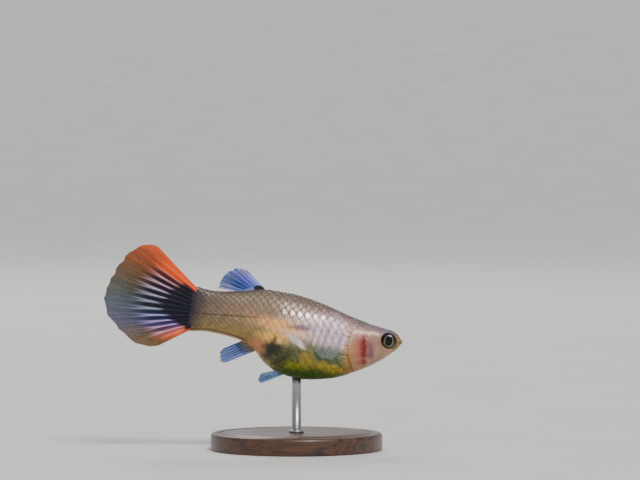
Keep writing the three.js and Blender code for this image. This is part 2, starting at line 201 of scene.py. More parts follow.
def gridFaces(rows, columns, start, flipped=False):
    faces = []
    for i in range(rows):
        for j in range(columns):
            a = start + i * (columns + 1) + j
            quad = (a, a + 1, a + columns + 2, a + columns + 1)
            faces.append(quad[::-1] if flipped else quad)
    return faces


def rimFaces(rows, columns, top, bottom, flipped=False):
    wide = columns + 1
    around = [j for j in range(columns)] + [i * wide + columns for i in range(rows)]
    around += [rows * wide + j for j in range(columns, 0, -1)] + [i * wide for i in range(rows, 0, -1)]
    faces = []
    for a, b in zip(around, around[1:] + around[:1]):
        quad = (top + a, bottom + a, bottom + b, top + b)
        faces.append(quad[::-1] if flipped else quad)
    return faces


# Node helpers

def fill(sockets, values):
    # links each socket to the node that drives it, or sets its number
    for key, value in values.items():
        if isinstance(value, bpy.types.NodeSocket):
            value.id_data.links.new(value, sockets[key])
        else:
            sockets[key].default_value = value


def addNode(kind, inputs, tree=None, **settings):
    # the node joins the tree of the sockets that drive it
    tree = tree or next(v.id_data for v in inputs.values() if isinstance(v, bpy.types.NodeSocket))
    node = tree.nodes.new(kind)
    for key, value in settings.items():
        setattr(node, key, value)
    fill(node.inputs, inputs)
    return node


def mathNode(operation, a, b=0.0, clamp=False):
    return addNode("ShaderNodeMath", {0: a, 1: b}, operation=operation, use_clamp=clamp).outputs[0]


def times(a, b, clamp=False):
    return mathNode("MULTIPLY", a, b, clamp)


def plus(a, b, clamp=False):
    return mathNode("ADD", a, b, clamp)


def minus(a, b):
    return mathNode("SUBTRACT", a, b)


def higher(a, b):
    return mathNode("MAXIMUM", a, b)


def square(a, unit):
    return mathNode("POWER", mathNode("DIVIDE", a, unit), 2.0)


def wander(value, wobble, middle, amount):
    # a value pushed about by a noise
    return plus(value, times(minus(wobble, middle), amount))


def ranged(value, low, high, toLow=0.0, toHigh=1.0):
    inputs = {"Value": value, "From Min": low, "From Max": high, "To Min": toLow, "To Max": toHigh}
    return addNode("ShaderNodeMapRange", inputs, interpolation_type="SMOOTHSTEP").outputs[0]


def split(vector):
    return addNode("ShaderNodeSeparateXYZ", {0: vector}).outputs


def join(x, y, z=0.0):
    return addNode("ShaderNodeCombineXYZ", {0: x, 1: y, 2: z}).outputs[0]


def noise(vector, scale, detail, distortion=0.0):
    inputs = {"Vector": vector, "Scale": scale, "Detail": detail, "Distortion": distortion}
    return addNode("ShaderNodeTexNoise", inputs).outputs[0]


def stretch(vector, scale, rotation=(0, 0, 0)):
    return addNode("ShaderNodeMapping", {"Vector": vector, "Rotation": rotation, "Scale": scale}).outputs[0]


def shade(value, colour):
    return addNode("ShaderNodeHueSaturation", {"Value": value, "Color": colour}).outputs[0]


depth = {"gamma": 1.26, "saturation": 0.98}  # the bright studio pales colours, so they are mixed deeper


def paint(colour):
    # a colour as seen on screen, 0 to 255, to the shader's own scale
    linear = [(c / 255 / 12.92) if c <= 10 else ((c / 255 + 0.055) / 1.055) ** 2.4 for c in colour]
    grey = sum(linear) / 3
    rich = [max(0.0, grey + (c - grey) * depth["saturation"]) ** depth["gamma"] for c in linear]
    return (*rich, 1.0)


def colourMix(amount, a, b, blend="MIX"):
    a, b = [c if isinstance(c, bpy.types.NodeSocket) else paint(c) for c in (a, b)]
    return addNode("ShaderNodeMix", {0: amount, 6: a, 7: b}, data_type="RGBA", blend_type=blend).outputs[2]


def tinted(colour, mask, strength, tint):
    return colourMix(times(mask, strength), colour, tint)


def ramp(value, stops):
    node = addNode("ShaderNodeValToRGB", {0: value})
    elements = node.color_ramp.elements
    while len(elements) < len(stops):
        elements.new(0.5)
    for element, stop in zip(elements, stops):
        element.position = stop[0]
    for element, stop in zip(elements, stops):
        element.color = paint(stop[1])
    return node.outputs[0]


def addRelief(shader, height, strength, distance):
    bumps = addNode("ShaderNodeBump", {"Strength": strength, "Distance": distance, "Height": height})
    fill(shader.inputs, {"Normal": bumps.outputs[0]})


def newGroup(name, inputs, outputs):
    # each input is given by its kind of socket, or by its usual number or colour
    tree = bpy.data.node_groups.new(name, "ShaderNodeTree")
    for label, value in inputs.items():
        kind = value if isinstance(value, str) else "Float" if isinstance(value, float) else "Color"
        socket = tree.interface.new_socket(label, in_out="INPUT", socket_type="NodeSocket" + kind)
        if not isinstance(value, str):
            socket.default_value = value
    for label, kind in outputs.items():
        tree.interface.new_socket(label, in_out="OUTPUT", socket_type="NodeSocket" + kind)
    given, out = [addNode(kind, {}, tree) for kind in ("NodeGroupInput", "NodeGroupOutput")]
    return tree, given.outputs, out.inputs


def placeGroup(group, inputs):
    return addNode("ShaderNodeGroup", inputs, node_tree=group).outputs


def newMaterial(name, **constants):
    material = bpy.data.materials.new(name)
    material.use_nodes = True
    shader = material.node_tree.nodes["Principled BSDF"]
    fill(shader.inputs, constants)
    return material, material.node_tree, shader


def attributeNode(tree, name, output="Vector"):
    return addNode("ShaderNodeAttribute", {}, tree, attribute_name=name).outputs[output]


def objectPlace(tree):
    return addNode("ShaderNodeTexCoord", {}, tree).outputs["Object"]


# A soft-edged patch about a place on the fish, for its markings
patch = {
    "Centre S": 0.0, "Centre Z": 0.0, "Half Length": 1.0, "Half Height": 1.0, "Tilt": 0.0, "Ragged": 0.2,
    "Softness": 0.45, "Noise Size": 0.9,
}


def makeSoftPatch():
    tree, given, out = newGroup("softPatch", {"Place": "Vector", **patch}, {"Mask": "Float"})
    place = split(given["Place"])
    ds = minus(place[0], given["Centre S"])
    dz = minus(place[2], given["Centre Z"])
    cosTilt = mathNode("COSINE", given["Tilt"])
    sinTilt = mathNode("SINE", given["Tilt"])
    along = plus(times(ds, cosTilt), times(dz, sinTilt))
    across = minus(times(dz, cosTilt), times(ds, sinTilt))
    along = square(along, given["Half Length"])
    across = square(across, given["Half Height"])
    far = mathNode("SQRT", plus(along, across))
    # the edge wanders by a noise, in or out by twice the raggedness at the most
    wobble = noise(given["Place"], given["Noise Size"], 4.0)
    wobble = times(minus(wobble, 0.5), given["Ragged"])
    far = plus(far, times(wobble, 4.0))
    outer, inner = plus(1.0, given["Softness"]), minus(1.0, given["Softness"])
    fill(out, {"Mask": ranged(far, outer, inner)})
    return tree


# A fine two-scale mottling for any surface, about 1
mottleShape = {"coarseDetail": 5.0, "fineSize": 6.0, "fineDetail": 3.0, "coarse": 0.65, "fine": 0.35}


def makeMottling():
    inputs = {"Vector": "Vector", "Size": 1.0, "Contrast": 0.3}
    tree, given, out = newGroup("mottling", inputs, {"Value": "Float", "Fine": "Float"})
    coarse = noise(given["Vector"], given["Size"], mottleShape["coarseDetail"])
    fineSize = times(given["Size"], mottleShape["fineSize"])
    fine = noise(given["Vector"], fineSize, mottleShape["fineDetail"])
    both = plus(times(coarse, mottleShape["coarse"]), times(fine, mottleShape["fine"]))
    centred = times(minus(both, 0.5), given["Contrast"])
    fill(out, {"Value": plus(1.0, times(centred, 2.0)), "Fine": fine})
    return tree


softPatch, mottling = makeSoftPatch(), makeMottling()


def patchMask(place, shape):
    return placeGroup(softPatch, {"Place": place, **dict(zip(patch, shape))})[0]


def mottle(vector, size, contrast):
    return placeGroup(mottling, {"Vector": vector, "Size": size, "Contrast": contrast})


# The markings of the skin and the scales, and a painted sheen over the silver. Each patch: centre s and z,
# half length and height, tilt in radians, raggedness, softness, colour, strength. Later ones lie over
# earlier ones.
markings = {
    "frontSilver": (12.9, 0.2, 4.6, 2.6, 0.06, 0.16, 0.5, (232, 208, 218), 0.9),
    "bellyOlive": (16.6, -5.4, 6.4, 2.9, -0.05, 0.14, 0.4, (104, 112, 46), 0.9),
    "deepGreen": (12.6, -3.9, 3.8, 1.5, 0.06, 0.2, 0.6, (82, 112, 78), 0.88),
    "goldAhead": (11.9, -6.2, 2.7, 0.85, 0.1, 0.5, 0.5, (192, 172, 62), 0.85),
    "goldMiddle": (15.9, -5.2, 1.05, 1.7, 0.2, 0.5, 0.5, (186, 158, 58), 0.75),
    "goldBelow": (17.7, -6.9, 2.2, 0.85, 0.0, 0.5, 0.5, (158, 158, 38), 0.8),
    "greenBelow": (15.6, -8.2, 5.8, 0.95, 0.0, 0.3, 0.6, (66, 112, 38), 0.8),
    "peachBand": (21.2, -0.3, 4.4, 1.1, 0.06, 0.18, 0.6, (255, 194, 126), 0.9),
    "yellowGlow": (22.2, -2.5, 2.5, 1.05, 0.0, 0.25, 0.5, (255, 206, 112), 0.9),
    "ventGlow": (24.7, -4.6, 1.5, 1.7, 0.6, 0.2, 0.6, (226, 158, 104), 0.8),
    "gravidSpot": (22.2, -4.5, 1.2, 1.45, 0.25, 0.5, 0.65, (24, 18, 6), 0.9),
    "gravidSpecks": (21.5, -4.5, 2.0, 1.5, 0.2, 1.0, 0.75, (40, 34, 12), 0.55),
    "gravidTail": (20.6, -6.2, 1.2, 0.9, -0.4, 0.5, 0.7, (62, 52, 16), 0.6),
    "paleSpear": (18.0, -2.5, 1.9, 0.5, 0.5, 0.25, 0.6, (240, 224, 226), 0.9),
    "silverLine": (18.3, -1.15, 3.2, 0.26, 0.07, 0.12, 0.6, (240, 214, 178), 0.9),
    # silver skin, with a pale painted sheen over it
    "silverAndPaintedSheen": (17.2, 1.1, 2.8, 0.7, -0.03, 0.3, 0.8, (255, 230, 222), 0.55),
    "lensPatch": (17.6, 0.0, 1.9, 0.42, -0.04, 0.4, 0.7, (124, 106, 134), 0.85),
    "goldCollar": (8.5, -3.1, 1.0, 3.6, -0.06, 0.45, 0.75, (196, 142, 78), 0.8),
    "pinkCollar": (7.3, -3.0, 0.6, 3.0, -0.1, 0.3, 0.6, (186, 134, 112), 0.6),
    "cheekPink": (4.3, -1.6, 2.0, 2.3, 0.0, 0.16, 0.6, (172, 138, 124), 0.6),
    "redGlow": (6.5, -2.6, 1.0, 2.7, -0.14, 0.45, 0.8, (186, 92, 72), 0.7),
    "redGill": (6.2, -2.5, 0.5, 2.2, -0.16, 0.8, 0.7, (134, 14, 12), 0.95),
    "magentaEdge": (5.55, -2.6, 0.2, 1.7, -0.1, 0.2, 0.8, (196, 84, 124), 0.5),
    "lilacSpot": (5.0, -2.3, 0.5, 1.35, -0.16, 0.4, 0.7, (124, 88, 112), 0.75),
    "headLilac": (3.5, 1.7, 2.2, 0.6, 0.1, 0.15, 0.7, (148, 130, 146), 0.7),
    "snoutOlive": (0.7, -0.2, 1.1, 1.9, 0.0, 0.16, 0.6, (150, 126, 62), 0.85),
    "peduncleDusk": (35.6, 1.6, 5.4, 3.4, 0.0, 0.2, 0.8, (88, 72, 78), 0.6),
    "tailDusk": (37.8, 0.4, 2.6, 6.0, 0.0, 0.14, 0.5, (58, 46, 70), 0.85),
    "tailDark": (37.9, 0.0, 1.2, 3.8, 0.0, 0.12, 0.5, (16, 16, 34), 0.97),
    "lateralLine": (31.0, -0.1, 6.6, 0.11, -0.105, 0.06, 0.5, (84, 58, 56), 0.75),
}
silverMarks = ("frontSilver", "silverLine", "paleSpear", "silverAndPaintedSheen")
clearMarks = ("bellyOlive", "deepGreen", "gravidSpot", "greenBelow")

# The colours under the markings, each from the belly up to the back
ground = {
    "mottling": (0.8, 0.5), "uneven": 0.2, "rearS": (18.0, 25.0), "headS": (9.6, 6.4),
    "silverFrom": (0.25, 0.6), "silverTo": (1.0, 0.7),
    "rear": [
        (0.0, (206, 172, 98)), (0.12, (176, 148, 90)), (0.35, (168, 148, 102)), (0.55, (182, 154, 116)),
        (0.8, (158, 142, 112)), (1.0, (130, 118, 98)),
    ],
    "front": [
        (0.0, (132, 140, 76)), (0.2, (140, 140, 84)), (0.42, (206, 186, 170)), (0.62, (206, 180, 162)),
        (0.82, (172, 144, 128)), (1.0, (134, 112, 104)),
    ],
    "head": [
        (0.0, (204, 168, 138)), (0.35, (200, 160, 136)), (0.7, (194, 156, 132)), (0.9, (166, 142, 134)),
        (1.0, (142, 128, 136)),
    ],
}
# faint upright streaks over the silver of the front flank
streak = {
    "slant": 0.17, "wave": {"Scale": 0.27, "Distortion": 4.2, "Detail": 3.0, "Detail Scale": 0.5},
    "zone": (12.9, -0.9, 3.4, 2.8, 0.0, 0.16), "dullAt": (0.55, 0.1), "dull": (0.45, (158, 144, 164)),
    "brightAt": (0.55, 0.95), "bright": (0.6, (255, 244, 250)),
}
# a dark line and a pale gold keel under the peduncle, and a dusky ridge along the back
underside = {
    "fromS": (25.5, 27.5), "lineTop": (0.75, 0.5), "lineFoot": (0.22, 0.42), "line": (0.75, (92, 58, 40)),
    "keelTop": (0.36, 0.16), "keel": (0.8, (222, 192, 132)),
    "ridgeAt": (0.6, 0.1), "ridge": (0.4, (96, 84, 88)),
}


def makeGuppyMarkings():
    outputs = {"Color": "Color", "Silver": "Float", "Clear": "Float"}
    tree, given, out = newGroup("guppyMarkings", {"Place": "Vector", "Lie": "Vector"}, outputs)
    place, lie = split(given["Place"]), split(given["Lie"])
    mottled = mottle(given["Place"], *ground["mottling"])
    height = wander(lie[2], mottled[0], 1.0, ground["uneven"])
    rear, front, head = [ramp(height, ground[part]) for part in ("rear", "front", "head")]
    colour = colourMix(ranged(place[0], *ground["rearS"]), front, rear)
    colour = colourMix(ranged(place[0], *ground["headS"]), colour, head)
    silver = ranged(height, *ground["silverFrom"])
    silver = times(silver, ranged(height, *ground["silverTo"]))
    clear = 0.0
    for name, (*shape, tint, strength) in markings.items():
        mask = times(patchMask(given["Place"], shape), strength)
        colour = colourMix(mask, colour, tint)
        if name in silverMarks:
            silver = higher(silver, mask)
        else:
            silver = times(silver, minus(1.0, mask))
        if name in clearMarks:
            clear = higher(clear, mask)
    slanted = plus(place[0], times(place[2], streak["slant"]))
    slanted = join(slanted, place[1], place[2])
    wave = addNode("ShaderNodeTexWave", {"Vector": slanted, **streak["wave"]}).outputs[1]
    zone = patchMask(given["Place"], streak["zone"])
    zone = times(zone, minus(1.0, clear), True)
    for part in ("dull", "bright"):
        mask = times(ranged(wave, *streak[part + "At"]), zone)
        colour = tinted(colour, mask, *streak[part])
    underTail = ranged(place[0], *underside["fromS"])
    line = times(ranged(lie[0], *underside["lineTop"]), underTail)
    line = times(line, ranged(lie[0], *underside["lineFoot"]))
    keel = times(ranged(lie[0], *underside["keelTop"]), underTail)
    colour = tinted(colour, line, *underside["line"])
    colour = tinted(colour, keel, *underside["keel"])
    colour = tinted(colour, ranged(lie[1], *underside["ridgeAt"]), *underside["ridge"])
    fill(out, {
        "Color": shade(mottled[0], colour),
        "Silver": times(silver, minus(1.0, clear), True),
        "Clear": clear,
    })
    return tree


guppyMarkings = makeGuppyMarkings()

# glow is the strength of a painted glow, an emission on the pale scales and, faintly, on the silver
fleshLook = {
    "fine": (3.0, 0.35), "metal": 0.38, "rough": 0.46, "silverSmooth": 0.14, "coat": 0.18, "clearCoat": 0.12,
    "relief": (0.25, 0.00004), "dimmest": 0.9, "spread": 0.24, "pearlSilver": 0.5, "paintedGlow": 0.9,
}
# darker rims, strongest on the back and the rear, faint over the clear belly
rims = {
    "edge": (0.35, 1.0), "strength": 0.3, "colour": (84, 66, 70), "back": (0.45, 0.85),
    "rearS": (19.0, 26.0), "belly": (0.1, 0.4, 0.45, 1.0),
}
# the pale centres of the pale row of scales, their own colour, and a painted glow on them and faintly on the
# silver, by emission
pearlPaleAndPaintedGlow = {"edge": (0.85, 0.3), "colour": (255, 244, 246), "paintedGlow": (255, 232, 236), "silverPaintedGlow": 0.05}


def makeFleshMaterial(name, scaled):
    material, tree, shader = newMaterial(name, **{
        "Coat Roughness": 0.12, "Specular IOR Level": 0.38,
        # a painted glow on the scales: emission, though they are no lamp
        "Emission Strength": fleshLook["paintedGlow"] if scaled else 0.0,
    })
    place, lie = attributeNode(tree, "fishPlace"), attributeNode(tree, "fishLie")
    marks = placeGroup(guppyMarkings, {"Place": place, "Lie": lie})
    colour, silver, clear = marks["Color"], marks["Silver"], marks["Clear"]
    fine = mottle(place, *fleshLook["fine"])
    if scaled:
        edge, own, pearl = [attributeNode(tree, key, "Fac") for key in ("scaleEdge", "scaleRandom", "pearl")]
        s, height = split(place)[0], split(lie)[2]
        net = higher(ranged(height, *rims["back"]), ranged(s, *rims["rearS"]))
        net = times(net, ranged(height, *rims["belly"]))
        rim = times(ranged(edge, *rims["edge"]), times(net, rims["strength"]))
        colour = colourMix(rim, colour, rims["colour"])
        # each scale a little lighter or darker than the next
        colour = shade(plus(fleshLook["dimmest"], times(own, fleshLook["spread"])), colour)
        # the pale centre is the scale's own colour; the emission below is a painted glow on it and, faintly,
        # on the silver
        paleAndPaintedGlow = times(pearl, ranged(edge, *pearlPaleAndPaintedGlow["edge"]))
        colour = colourMix(paleAndPaintedGlow, colour, pearlPaleAndPaintedGlow["colour"])
        paintedGlowMask = higher(paleAndPaintedGlow, times(silver, pearlPaleAndPaintedGlow["silverPaintedGlow"]))
        fill(shader.inputs, {"Emission Color": colourMix(paintedGlowMask, (0, 0, 0), pearlPaleAndPaintedGlow["paintedGlow"])})
        silver = higher(silver, times(pearl, fleshLook["pearlSilver"]))
    rough = minus(fleshLook["rough"], times(silver, fleshLook["silverSmooth"]))
    fill(shader.inputs, {
        "Base Color": shade(fine[0], colour),
        "Metallic": times(silver, fleshLook["metal"]),
        "Roughness": times(rough, fine[0]),
        "Coat Weight": plus(fleshLook["coat"], times(clear, fleshLook["clearCoat"])),
    })
    addRelief(shader, fine[1], *fleshLook["relief"])
    return material


skinFinish = makeFleshMaterial("guppySkin", False)
scaleFinish = makeFleshMaterial("guppyScales", True)

# The skin is one loft with lips, nostrils, sockets and gill covers raised or sunk in it
skin = {
    "rings": 300, "sides": 176, "crowding": 1.35, "capRings": 10, "capDepth": 0.14, "coatDepth": 0.1,
    "tailCap": 0.16,
}
mouth = {
    "lineZ": 0.16, "slope": -0.3, "endS": (0.43, 0.9), "swell": 0.16, "upper": (0.2, 0.15),
    "lower": (0.22, 0.16), "slit": (0.2, 0.06),
}
nostril = {
    "s": 0.95, "y": 0.72, "overZ": 0.6, "radius": 0.15, "depth": 0.22,
    "rim": 0.05, "rimAt": 0.26, "rimWidth": 0.08,
}
gillLip = {
    "fromS": 3, "raise": 0.13, "rise": (-1.6, -0.12), "edge": (-0.12, 0.02),
    "sink": 0.16, "drop": (-0.08, 0.06), "behind": (0.1, 0.9), "top": (0.2, 1.6), "bottom": (-6.9, -5.6),
}
coatEdge = {"pastGill": (-0.1, 0.5), "napeS": (5.2, 6.2), "napeZ": (1.0, 1.8)}
# folds in the cheek: place, curl, middle height, depth, width, and where each fades out
folds = [(5.3, 0.12, -2.5, 0.07, 0.16, 7.2, 8.0), (4.4, 0.1, -2.2, 0.04, 0.14, 6.4, 7.2)]


def scaledShare(s, z):
    # 1 where scales lie over the skin, 0 on the head
    nape = smooth(*coatEdge["napeS"], s) * smooth(*coatEdge["napeZ"], z)
    return max(smooth(*coatEdge["pastGill"], s - gillOpening(z)), nape)


def skinRelief(s, y, z):
    # how far the skin stands out at a place, in mm
    out = -skin["coatDepth"] * scaledShare(s, z)
    line = z - mouth["lineZ"] - mouth["slope"] * s
    reach = 1 - smooth(*mouth["endS"], s)
    (upper, upperWidth), (lower, lowerWidth) = mouth["upper"], mouth["lower"]
    slit, slitWidth = mouth["slit"]
    lips = mouth["swell"] * (bump(line - upper, upperWidth) + bump(line + lower, lowerWidth))
    out += reach * (lips - slit * bump(line, slitWidth))
    fromNostril = math.hypot(s - nostril["s"], abs(y) - nostril["y"])
    if z > nostril["overZ"]:
        out -= nostril["depth"] * bump(fromNostril, nostril["radius"])
        out += nostril["rim"] * bump(fromNostril - nostril["rimAt"], nostril["rimWidth"])
    fromEye = math.hypot(s - eye["s"], z - eye["z"])
    out += orbit["rimHeight"] * bump(fromEye - orbit["rimRadius"], orbit["rimWidth"])
    # the gill cover's free edge, with the opening behind it
    if s > gillLip["fromS"]:
        past = s - gillOpening(z)
        tall = (1 - smooth(*gillLip["top"], z)) * smooth(*gillLip["bottom"], z)
        raised = smooth(*gillLip["rise"], past) * (1 - smooth(*gillLip["edge"], past))
        sunk = smooth(*gillLip["drop"], past) * (1 - smooth(*gillLip["behind"], past))
        out += tall * (gillLip["raise"] * raised - gillLip["sink"] * sunk)
        for at, curl, middle, deep, width, fadeFrom, fadeTo in folds:
            fold = s - at - curl * (z - middle) ** 2
            out -= tall * deep * bump(fold, width) * (1 - smooth(fadeFrom, fadeTo, s))
    return out


def lieOf(s, z):
    low, high = bellyLine(s), backLine(s)
    return z - low, high - z, (z - low) / max(high - low, 0.01)


def socketDepth():
    return widthAt(eye["s"], eye["z"]) + eye["proud"] - eye["halfThickness"]


def buildSkin():
    rings, sides = skin["rings"], skin["sides"]
    points = []
    noseMiddle = (backLine(0) + bellyLine(0)) / 2
    turns = [2 * math.pi * j / sides for j in range(sides)]
    # the snout's cap, from its middle out to the first ring
    for i in range(1, skin["capRings"]):
        share = math.sin(math.pi / 2 * i / skin["capRings"])
        forward = -skin["capDepth"] * math.sqrt(1 - share * share)
        for turn in turns:
            y, z = bodyPoint(0, turn)[1:]
            points.append((forward, y * share, mix(noseMiddle, z, share)))
    for i in range(rings + 1):
        s = bodyEnd * (i / rings) ** skin["crowding"]
        points += [bodyPoint(s, turn) for turn in turns]
    endRing = points[-sides:]
    for share in (0.7, 0.35):
        points += [(s + skin["tailCap"] * (1 - share), y * share, z * share) for s, y, z in endRing]
    count = len(points) // sides
    faces = tubeFaces(count, sides)
    points += [(-skin["capDepth"], 0, noseMiddle), (bodyEnd + skin["tailCap"], 0, 0)]
    last = (count - 1) * sides
    for j in range(sides):
        k = (j + 1) % sides
        faces += [(len(points) - 2, j, k), (len(points) - 1, last + k, last + j)]
    plain = meshPiece("plainSkin", inWorld(points), faces)
    normals = np.array([v.normal for v in plain.data.vertices])
    bpy.data.objects.remove(plain)
    backPoint = (skin["capRings"] + 40) * sides
    if normals[backPoint][2] < 0:
        normals = -normals
        faces = [tuple(reversed(f)) for f in faces]
    relief = np.array([skinRelief(*p) for p in points])
    world = inWorld(points) + normals * relief[:, None] * mm
    # the sockets, sunk straight in behind each eye
    deepest = socketDepth() - 0.1
    for i, point in enumerate(points):
        fromEye = math.hypot(point[0] - eye["s"], point[2] - eye["z"])
        if fromEye < orbit["edge"]:
            sink = 1 - smooth(orbit["hole"], orbit["edge"], fromEye)
            now = abs(world[i, 1] / mm)
            world[i, 1] = math.copysign(mix(now, min(now, deepest), sink) * mm, world[i, 1])
    lies = [lieOf(min(max(p[0], 0), bodyEnd), p[2]) for p in points]
    piece = meshPiece("guppySkin", world, faces, {"fishPlace": points, "fishLie": lies})
    nodes = ["head", "torso", "tail_peduncle", "gill_cover_l", "gill_cover_r"]
    finishPiece(piece, skinFinish, "skin", *nodes)


buildSkin()
print("skin built")

# Scales: staggered columns from the gills to the tail, the same number round the body all along
scales = {
    "round": 20, "startS": 5.6, "pitchFront": 0.68, "pitchRear": 0.52, "halfLength": 1.02,
    "width": 1.12, "rootLift": -0.05, "edgeLift": 0.1, "thickness": 0.035, "droop": 0.035,
    "rearLength": 0.82, "rearLift": 0.75, "turn": 0.05, "sizes": (0.96, 1.04), "lifts": (0.85, 1.15),
    "across": 8, "along": 8, "patchHalf": 0.0014,
}
pearlRow = {
    "z": 2.13, "slope": -0.02, "atS": 17.0, "fromS": 12.3, "toS": 20.9, "above": 0.08,
    "bendS": (9.0, 24.0), "mostBend": 0.09,
}
angles = np.linspace(0, math.pi, 97)


def perimeterTable(s):
    # share of the way round the body from the back, at each of the angles
    ring = [bodyPoint(s, angle) for angle in angles]
    lengths = [0.0]
    for p, q in zip(ring, ring[1:]):
        lengths.append(lengths[-1] + math.dist(p, q))
    return [x / lengths[-1] for x in lengths], lengths[-1] * 2


def angleAt(share, table):
    return float(np.interp(share, table[0], angles))


def scaleOutline():
    # a round-cornered plate from a square grid: x along, y across, both from -1 to 1
    outline = []
    for i in range(scales["along"] + 1):
        u = 2 * i / scales["along"] - 1
        for j in range(scales["across"] + 1):
            v = 2 * j / scales["across"] - 1
            outline.append((u * math.sqrt(1 - v * v / 2), v * math.sqrt(1 - u * u / 2)))
    return outline


def scalePlaces():
    # where each scale's middle lies, for the left side and the right, and the row of pale scales
    columns = []
    s = scales["startS"]
    while s < bodyEnd - 0.25:
        columns.append(s)
        s += mix(scales["pitchFront"], scales["pitchRear"], smooth(18, 34, s))
    tables = [perimeterTable(s) for s in columns]
    halfRound = scales["round"] // 2
    # the row of pale scales is the one that passes nearest its place on the flank
    pearlColumn = min(range(0, len(columns), 2), key=lambda k: abs(columns[k] - pearlRow["atS"]))
    pearlS, pearlTable = columns[pearlColumn], tables[pearlColumn]
    heights = [bodyPoint(pearlS, angleAt(n / halfRound, pearlTable))[2] for n in range(halfRound)]
    pearlNumber = min(range(halfRound), key=lambda n: abs(heights[n] - pearlRow["z"]))
    pearlShare = pearlNumber / halfRound

    def rowShift(k):
        # how far the rows move down or up the flank so that the pale row keeps to its line
        s = min(max(columns[k], pearlRow["bendS"][0]), pearlRow["bendS"][1])
        nearest = min(range(len(columns)), key=lambda i: abs(columns[i] - s))
        wanted = pearlRow["z"] + pearlRow["slope"] * (s - pearlRow["atS"])
        down = [-bodyPoint(s, angle)[2] for angle in angles]
        share = float(np.interp(-wanted, down, tables[nearest][0]))
        return min(max(share - pearlShare, -pearlRow["mostBend"]), pearlRow["mostBend"])

    def bentShare(share, shift):
        # the shift is whole at the pale row and dies out at the back and the belly
        if share <= 0 or share >= 1:
            return share
        if share < pearlShare:
            return share + shift * math.sin(math.pi / 2 * share / pearlShare)
        return share + shift * math.cos(math.pi / 2 * (share - pearlShare) / (1 - pearlShare)) ** 2

    chosen = {1: [], -1: []}
    for k, s in enumerate(columns):
        shift = rowShift(k)
        for number in range(halfRound + 1):
            share = (number + 0.5 * (k % 2)) / halfRound
            if share > 1:
                continue
            share = bentShare(share, shift)
            chosen[1].append((k, number, s, share, tables[k]))
            if share not in (0, 1):
                chosen[-1].append((k, number, s, share, tables[k]))
    return chosen, pearlNumber


def pearlOf(draw, k, number, s, pearlNumber):
    # how pale a scale is: the pale row whole, the one above it faintly
    if k % 2 or not pearlRow["fromS"] < s < pearlRow["toS"]:
        return 0.0
    ends = smooth(0, 1.6, min(s - pearlRow["fromS"], pearlRow["toS"] - s) + 0.5)
    pale = {pearlNumber: draw.uniform(0.85, 1.0) * ends, pearlNumber - 1: pearlRow["above"]}
    return pale.get(number, 0.0)


def buildCoat(side, chosen, pearlNumber, draw):
    outline = scaleOutline()
    rows, columns, size = scales["along"], scales["across"], len(outline)
    points, faces, lies, edges, owns, pearls, patches = [], [], [], [], [], [], []
    for k, number, s, share, table in chosen:
        around = table[1]
        if scaledShare(s, bodyPoint(s, side * angleAt(share, table))[2]) < 0.5:
            continue
        own = draw.random()
        pearl = pearlOf(draw, k, number, s, pearlNumber)
        turn = draw.uniform(-scales["turn"], scales["turn"])
        scale = draw.uniform(*scales["sizes"])
        # plates are shorter and lie flatter towards the tail
        longHalf = scales["halfLength"] * mix(1.0, scales["rearLength"], smooth(20, 34, s)) * scale
        wideHalf = around / scales["round"] / 2 * scales["width"] * scale
        lift = mix(1.0, scales["rearLift"], smooth(24, 36, s)) * draw.uniform(*scales["lifts"])
        start = len(points)
        for sink in (0.0, scales["thickness"]):
            for u, v in outline:
                along = u * longHalf
                at = min(max(s + along, 0.2), bodyEnd + 0.3)
                shareAt = share + (v * wideHalf + turn * along) / (around / 2)
                angle = math.copysign(angleAt(abs(shareAt), table), shareAt)
                if shareAt > 1:
                    angle = 2 * math.pi - angleAt(2 - shareAt, table)
                height = mix(scales["rootLift"], scales["edgeLift"] * lift, (u + 1) / 2)
                height -= scales["droop"] * v * v + skin["coatDepth"] * 0.5
                y, z = bodyPoint(min(at, bodyEnd), side * angle, height - sink)[1:]
                points.append((at, y, z))
                lies.append(lieOf(min(at, bodyEnd), z))
                far = math.hypot(u, v)
                edges.append(far if u > -0.3 else far * 0.4)
                owns.append(own)
                pearls.append(pearl)
                half = scales["patchHalf"]
                patches.append((s / bodyEnd + half * u, 0.5 + 0.48 * share * side + half * v))
        faces += gridFaces(rows, columns, start, side < 0)
        faces += gridFaces(rows, columns, start + size, side > 0)
        faces += rimFaces(rows, columns, start, start + size, side < 0)
    name = "guppyScalesLeft" if side > 0 else "guppyScalesRight"
    piece = meshPiece(name, inWorld(points), faces, {
        "fishPlace": points, "fishLie": lies, "scaleEdge": edges, "scaleRandom": owns, "pearl": pearls,
    })
    unwrap = piece.data.uv_layers.new(name="OFBake")
    corners = np.zeros(len(piece.data.loops), np.int32)
    piece.data.loops.foreach_get("vertex_index", corners)
    unwrap.data.foreach_set("uv", np.array(patches, np.float32)[corners].ravel())
    finishPiece(piece, scaleFinish, "skin")
    print(name, len(faces), "faces")


def buildScales():
    draw = random.Random(11)
    chosen, pearlNumber = scalePlaces()
    for side in (1, -1):
        buildCoat(side, chosen[side], pearlNumber, draw)


buildScales()

